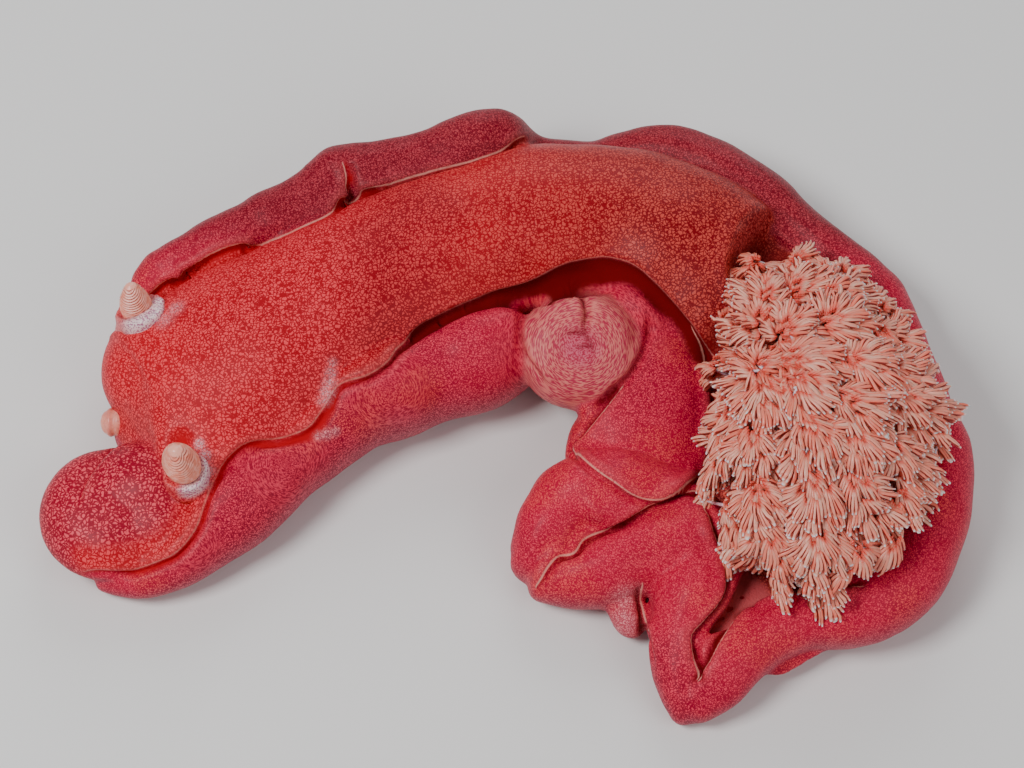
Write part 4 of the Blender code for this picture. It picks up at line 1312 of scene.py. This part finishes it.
def dome_ways(point):
    """The ways along and out of the rounded crown at a point."""
    off = point - GILL_CENTRE
    flow = point - FLOW_CENTRE
    off.z = flow.z = 0
    share = min(1.0, off.length / CROWN_REACH)
    out = off.normalized()
    down = 0.05 + 0.50 * share ** 2
    along = ((flow.normalized() + out * share * 0.6).normalized() - Vector((0, 0, down))).normalized()
    return along, (out * down + Vector((0, 0, 1))).normalized()


def bent(start, bend, end, count):
    """Points along a line from start to end that is drawn towards bend."""
    shares = [i / (count - 1) for i in range(count)]
    return [start * (1 - t) ** 2 + bend * 2 * t * (1 - t) + end * t * t for t in shares]


def rod_rings(points, radii, sides):
    """Rings round a line."""
    rings = []
    for i, (point, radius) in enumerate(zip(points, radii)):
        along = (points[min(i + 1, len(points) - 1)] - points[max(i - 1, 0)]).normalized()
        across = along.cross(Vector((0.02, 0.01, 1))).normalized()
        up = across.cross(along).normalized()
        rings.append([point + across * radius * math.cos(2 * math.pi * k / sides)
                      + up * radius * math.sin(2 * math.pi * k / sides) for k in range(sides)])
    return rings


def tapered(thick, loss):
    """The radii of a stem or an arm, from its root to its tip."""
    return [thick - loss * i / (ROD_STEPS - 1) for i in range(ROD_STEPS)]


def grow_gill(turn, tufts, draw):
    """The rods of one gill, and the root, way, face and size of each of its leaflets."""
    ring = plan_way(turn) * GILL_RING
    foot = GILL_CENTRE + ring + Vector((0, 0, FOOT_HEIGHT))
    crown = on_crown(*(GILL_CENTRE + plan_way(turn) * CROWN_START).xy)[0] - Vector((0, 0, 10))
    elbow = GILL_CENTRE + ring * 1.05 + Vector((0, 0, ELBOW_HEIGHT))
    stem = bent(foot, elbow, crown, ROD_STEPS)
    rods, leaflets, samples = [(stem, tapered(3.4, 1.6))], [], []
    for off, share in ARMS:
        arm_turn = (turn + off + draw.uniform(-4, 4) + 180) % 360 - 180
        root = stem[draw.choice(ARM_ROOTS)]
        out = plan_way(arm_turn) * crown_reach(arm_turn) * share
        tip = on_crown(*(GILL_CENTRE + out).xy)[0] - Vector((0, 0, 1.6))
        knee = root.lerp(tip, 0.45) + Vector((draw.uniform(-2, 2), draw.uniform(-2, 2), 4))
        arm = bent(root, knee, tip, ROD_STEPS)
        rods.append((arm, tapered(1.5, 1.1)))
        samples += arm[2:]
    for at in tufts:
        start = min(samples, key=lambda sample: (sample - at).length)
        rods.append((bent(start, start.lerp(at, 0.6), at, len(TWIG_RADII)), TWIG_RADII))
        along, up = dome_ways(at)
        out = at - cushion_of(at.x, at.y)[1]
        out.z = 0
        along = (along + out * 0.13).normalized()
        turned = 0.6 * noise.noise(at * 0.08 + Vector((0, 0, 5))) + draw.uniform(-0.25, 0.25)
        way = along * math.cos(turned) + up.cross(along) * math.sin(turned)
        way = (way + up * draw.uniform(0.0, 0.15)).normalized()
        leaflets += fan_leaflets(at, way, up, draw)
    return rods, leaflets


def fan_leaflets(at, way, up, draw):
    """A tuft: ribbons fan out from one place and lie over one another in two layers."""
    broad = up.cross(way).normalized()
    leaflets = []
    for i in range(LEAFLETS_PER_TUFT):
        spread = (i / (LEAFLETS_PER_TUFT - 1) - 0.5) * 2
        layer = (i + 1) % 2
        root = at - way * 2.6 * abs(spread) + up * 0.6 * layer + broad * spread * 1.0
        turn = spread * 0.50 + draw.uniform(-0.06, 0.06)
        rise = 0.10 * layer - 0.22 * spread * spread + draw.uniform(-0.05, 0.05)
        lean = (way * math.cos(turn) + broad * math.sin(turn) + up * rise).normalized()
        face = (up + broad * spread * 0.5).normalized()
        length = LEAFLET_LENGTH * draw.uniform(0.85, 1.12) * (1 - 0.18 * abs(spread))
        length *= 1.0 if layer else 0.86
        width = (LEAFLET_WIDTH if layer else WEB_WIDTH) * draw.uniform(0.85, 1.15)
        leaflets.append((root, lean, face, length, width, draw.random()))
    return leaflets


def leaflet_tree():
    """Sets one flat, tapering leaflet on every point, turned and sized by the point."""
    tree = bpy.data.node_groups.new("gill_leaflets", "GeometryNodeTree")
    shakes = [(name, "Float", amount * MM) for name, amount, _ in LEAFLET_SHAKES]
    for name, kind, value in [("Roots", "Geometry", None), ("Bend", "Float", LEAFLET_BEND),
                              *shakes, ("Finish", "Material", None)]:
        socket = tree.interface.new_socket(name=name, in_out="INPUT",
                                           socket_type="NodeSocket" + kind)
        if value is not None:
            socket.default_value = value
    tree.interface.new_socket(name="Leaflets", in_out="OUTPUT", socket_type="NodeSocketGeometry")
    n = Nodes(tree)

    def named(name, kind):
        made = n.put("GeometryNodeInputNamedAttribute", {"Name": name}, data_type=kind)
        return in_use(made.outputs, "Attribute")

    def stored(geometry, name, value):
        inputs = {"Geometry": geometry, "Name": name, "Value": value}
        return n.put("GeometryNodeStoreNamedAttribute", inputs, data_type="FLOAT",
                     domain="POINT").outputs[0]

    def position():
        return n.put("GeometryNodeInputPosition").outputs[0]

    group = n.put("NodeGroupInput").outputs
    tube = n.put("GeometryNodeMeshCylinder",
                 {"Vertices": 6, "Side Segments": 5, "Radius": 0.5, "Depth": 1.0})
    parts = n.put("ShaderNodeSeparateXYZ", {0: position()}).outputs
    height = n.math("ADD", parts[2], 0.5)
    outline = n.put("ShaderNodeFloatCurve", {"Value": height})
    points = outline.mapping.curves[0].points
    points[0].location, points[1].location = LEAFLET_OUTLINE[0], LEAFLET_OUTLINE[-1]
    for place, width in LEAFLET_OUTLINE[1:-1]:
        points.new(place, width)
    outline.mapping.update()
    width = outline.outputs[0]
    bend = n.times(n.times(height, height), group["Bend"])
    shaped = n.put("ShaderNodeCombineXYZ", {
        0: n.times(parts[0], width), 1: n.math("ADD", n.times(parts[1], width), bend), 2: height,
    })
    tagged = stored(stored(tube.outputs["Mesh"], "along", height), "across", parts[0])
    form = n.put("GeometryNodeSetPosition", {"Geometry": tagged, "Position": shaped.outputs[0]})
    copies = n.put("GeometryNodeInstanceOnPoints", {
        "Points": group["Roots"], "Instance": form.outputs[0],
        "Rotation": named("turn", "FLOAT_VECTOR"), "Scale": named("size", "FLOAT_VECTOR"),
    })
    waved = n.put("GeometryNodeRealizeInstances", {0: copies.outputs[0]}).outputs[0]
    along = named("along", "FLOAT")
    for name, _, scale in LEAFLET_SHAKES:
        cloud = n.noise(position(), scale, 1.0, output="Color")
        centred = n.put("ShaderNodeVectorMath", {0: cloud, 1: (0.5, 0.5, 0.5)},
                        operation="SUBTRACT").outputs[0]
        shift = n.put("ShaderNodeVectorMath", {0: centred, "Scale": n.times(along, group[name])},
                      operation="SCALE").outputs[0]
        waved = n.put("GeometryNodeSetPosition", {"Geometry": waved, "Offset": shift}).outputs[0]
    finish = n.put("GeometryNodeSetMaterial", {"Geometry": waved, "Material": group["Finish"]})
    n.put("NodeGroupOutput", {0: finish.outputs[0]})
    return tree


def leaflet_piece(name, leaflets, tree, material):
    """The leaflets of one gill as a plain mesh, with the map that lays out their roots."""
    roots = bpy.data.meshes.new(name + "_roots")
    roots.from_pydata([in_frame(root) for root, *_ in leaflets], [], [])
    turns, sizes, tints, spots = [], [], [], []
    for root, lean, face, length, width, tint in leaflets:
        across = lean.cross(face).normalized()
        front = across.cross(lean).normalized() * -1
        turns.append(tuple(Matrix((across, front, lean)).transposed().to_euler()))
        sizes.append((width * MM, LEAFLET_THICK * MM, length * MM))
        tints.append(tint)
        off = root - GILL_CENTRE
        spots.append((0.01 + 0.98 * ((math.atan2(off.y, off.x) / (2 * math.pi)) % 1.0),
                      0.01 + 0.98 * min(1.0, off.length / PATCH_REACH), 0))
    for field, rows in (("turn", turns), ("size", sizes), ("tint", tints), ("spot", spots)):
        put_attribute(roots, field, np.array(rows))
    holder = linked(name + "_roots", roots)
    grown = holder.modifiers.new("leaflets", "NODES")
    grown.node_group = tree
    for item in tree.interface.items_tree:
        if item.name == "Finish":
            grown[item.identifier] = material
    mesh = plain_copy(holder)
    mesh.name = name
    mesh.shade_smooth()
    lay_out_roots(mesh)
    return linked(name, mesh)


def lay_out_roots(mesh):
    """A small patch for each leaflet at its root's place round the crown."""
    fields = mesh.attributes
    spot = values_of(fields["spot"].data, "vector", 3, np.float32)[:, :2]
    along = values_of(fields["along"].data, "value", kind=np.float32)
    across = values_of(fields["across"].data, "value", kind=np.float32)
    flat = spot + np.stack([across * PATCH, (along - 0.5) * PATCH], axis=1)
    corners = values_of(mesh.loops, "vertex_index", kind=np.int64)
    layer = mesh.uv_layers.new(name="OFBake")
    layer.data.foreach_set("uv", flat[corners].astype(np.float32).ravel())


def branch_piece(rods, material):
    """All the stems, arms and twigs as one piece."""
    points, faces = [], []
    for line, radii in rods:
        sides = 8 if radii[0] > 0.7 else 5
        first = len(points)
        points += [point for ring in rod_rings(line, radii, sides) for point in ring]
        faces += [face for _, _, face in quads(len(line), sides, first)]
        faces += [tuple(range(first, first + sides))[::-1],
                  tuple(range(len(points) - sides, len(points)))]
    return shown("gill_branches", mesh_of("gill_branches", points, faces), material)


def make_gills():
    """The six plumes and, as one more piece, the white branches that carry them."""
    draw = random.Random(SEED)
    noise.seed_set(SEED)  # noise_vector, which places the cushions, starts from this seed
    tree = leaflet_tree()
    leaf, branch = leaflet_material(), branch_material()
    all_rods = []
    tufts = tuft_places(draw)
    for name, turn in GILLS:
        rods, leaflets = grow_gill(turn, tufts[name], draw)
        all_rods += rods
        piece = leaflet_piece(name.replace("gill", "gill_plume"), leaflets, tree, leaf)
        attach(piece, "root")
        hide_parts(name)
    branches = branch_piece(all_rods, branch)
    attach(branches, "root")


# The stage: paper floor, three soft lamps, and a camera at the photograph's angle.

VIEW_ELEVATION = math.radians(60)
VIEW_DISTANCE = 0.700
VIEW_WIDTH = 1024  # the photograph's width in pixels
MM_PER_PIXEL = 0.269
VIEW_TARGET = Vector((0, 0, 15))
FILM_WIDTH = 36.0
FLOOR_REACH = 3
LAMPS = [  # name, place in metres, power and size
    ("key", (-0.45, -0.20, 0.75), 5.8, 0.30),
    ("fill", (0.55, -0.45, 0.55), 2.2, 0.6),
    ("back", (0.1, 0.7, 0.5), 2.4, 0.5),
]
SKY_COLOUR, SKY_STRENGTH = (0.9, 0.92, 0.95, 1), 0.26


def set_stage():
    floor = bpy.data.meshes.new("floor")
    corners = [(x * FLOOR_REACH, y * FLOOR_REACH, 0) for x, y in ((-1, -1), (1, -1), (1, 1), (-1, 1))]
    floor.from_pydata(corners, [], [(0, 1, 2, 3)])
    paper = Finish("paper")
    shade = paper.noise(paper.place(), 2.0, 2.0)
    paper.feed(paper.shader.inputs["Base Color"],
               paper.mix(shade, (0.80, 0.79, 0.78), (0.84, 0.83, 0.82)))
    paper.shader.inputs["Roughness"].default_value = 0.8
    floor.materials.append(paper.material)
    linked("floor", floor)
    for name, place, power, size in LAMPS:
        light = bpy.data.lights.new(name, "AREA")
        light.energy = power
        light.size = size
        lamp = linked(name, light)
        lamp.location = place
        lamp.rotation_euler = (-Vector(place)).to_track_quat("-Z", "Y").to_euler()
    world = bpy.data.worlds.new("studio")
    bpy.context.scene.world = world
    world.use_nodes = True
    sky = world.node_tree.nodes["Background"].inputs
    sky["Color"].default_value = SKY_COLOUR
    sky["Strength"].default_value = SKY_STRENGTH


def set_camera():
    lens = bpy.data.cameras.new("view")
    lens.sensor_width = FILM_WIDTH
    lens.lens = FILM_WIDTH * VIEW_DISTANCE / (VIEW_WIDTH * MM_PER_PIXEL * MM)
    lens.clip_start = 0.01
    camera = linked("view", lens)
    back = Vector((0, -VIEW_DISTANCE * math.cos(VIEW_ELEVATION),
                   VIEW_DISTANCE * math.sin(VIEW_ELEVATION)))
    camera.location = in_frame(VIEW_TARGET) + back
    camera.rotation_euler = (math.radians(90) - VIEW_ELEVATION, 0, 0)
    bpy.context.scene.camera = camera


def main():
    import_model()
    set_camera()
    skin = make_skin()
    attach(skin, "root")
    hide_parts(*SKIN_NODES)
    club, collar, feeler = club_material(), collar_material(), feeler_material()
    for side in ("left", "right"):
        for piece, node, slot in (
            (make_club(side, club), "rhinophore_" + side, "rhinophore"),
            (make_collar(side, collar), "rhinophore_sheath_" + side, "sheath"),
            (make_tentacle(side, feeler), "oral_tentacle_" + side, "rhinophore"),
        ):
            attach(piece, "root")
            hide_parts(node)
    make_gills()
    set_stage()


main()
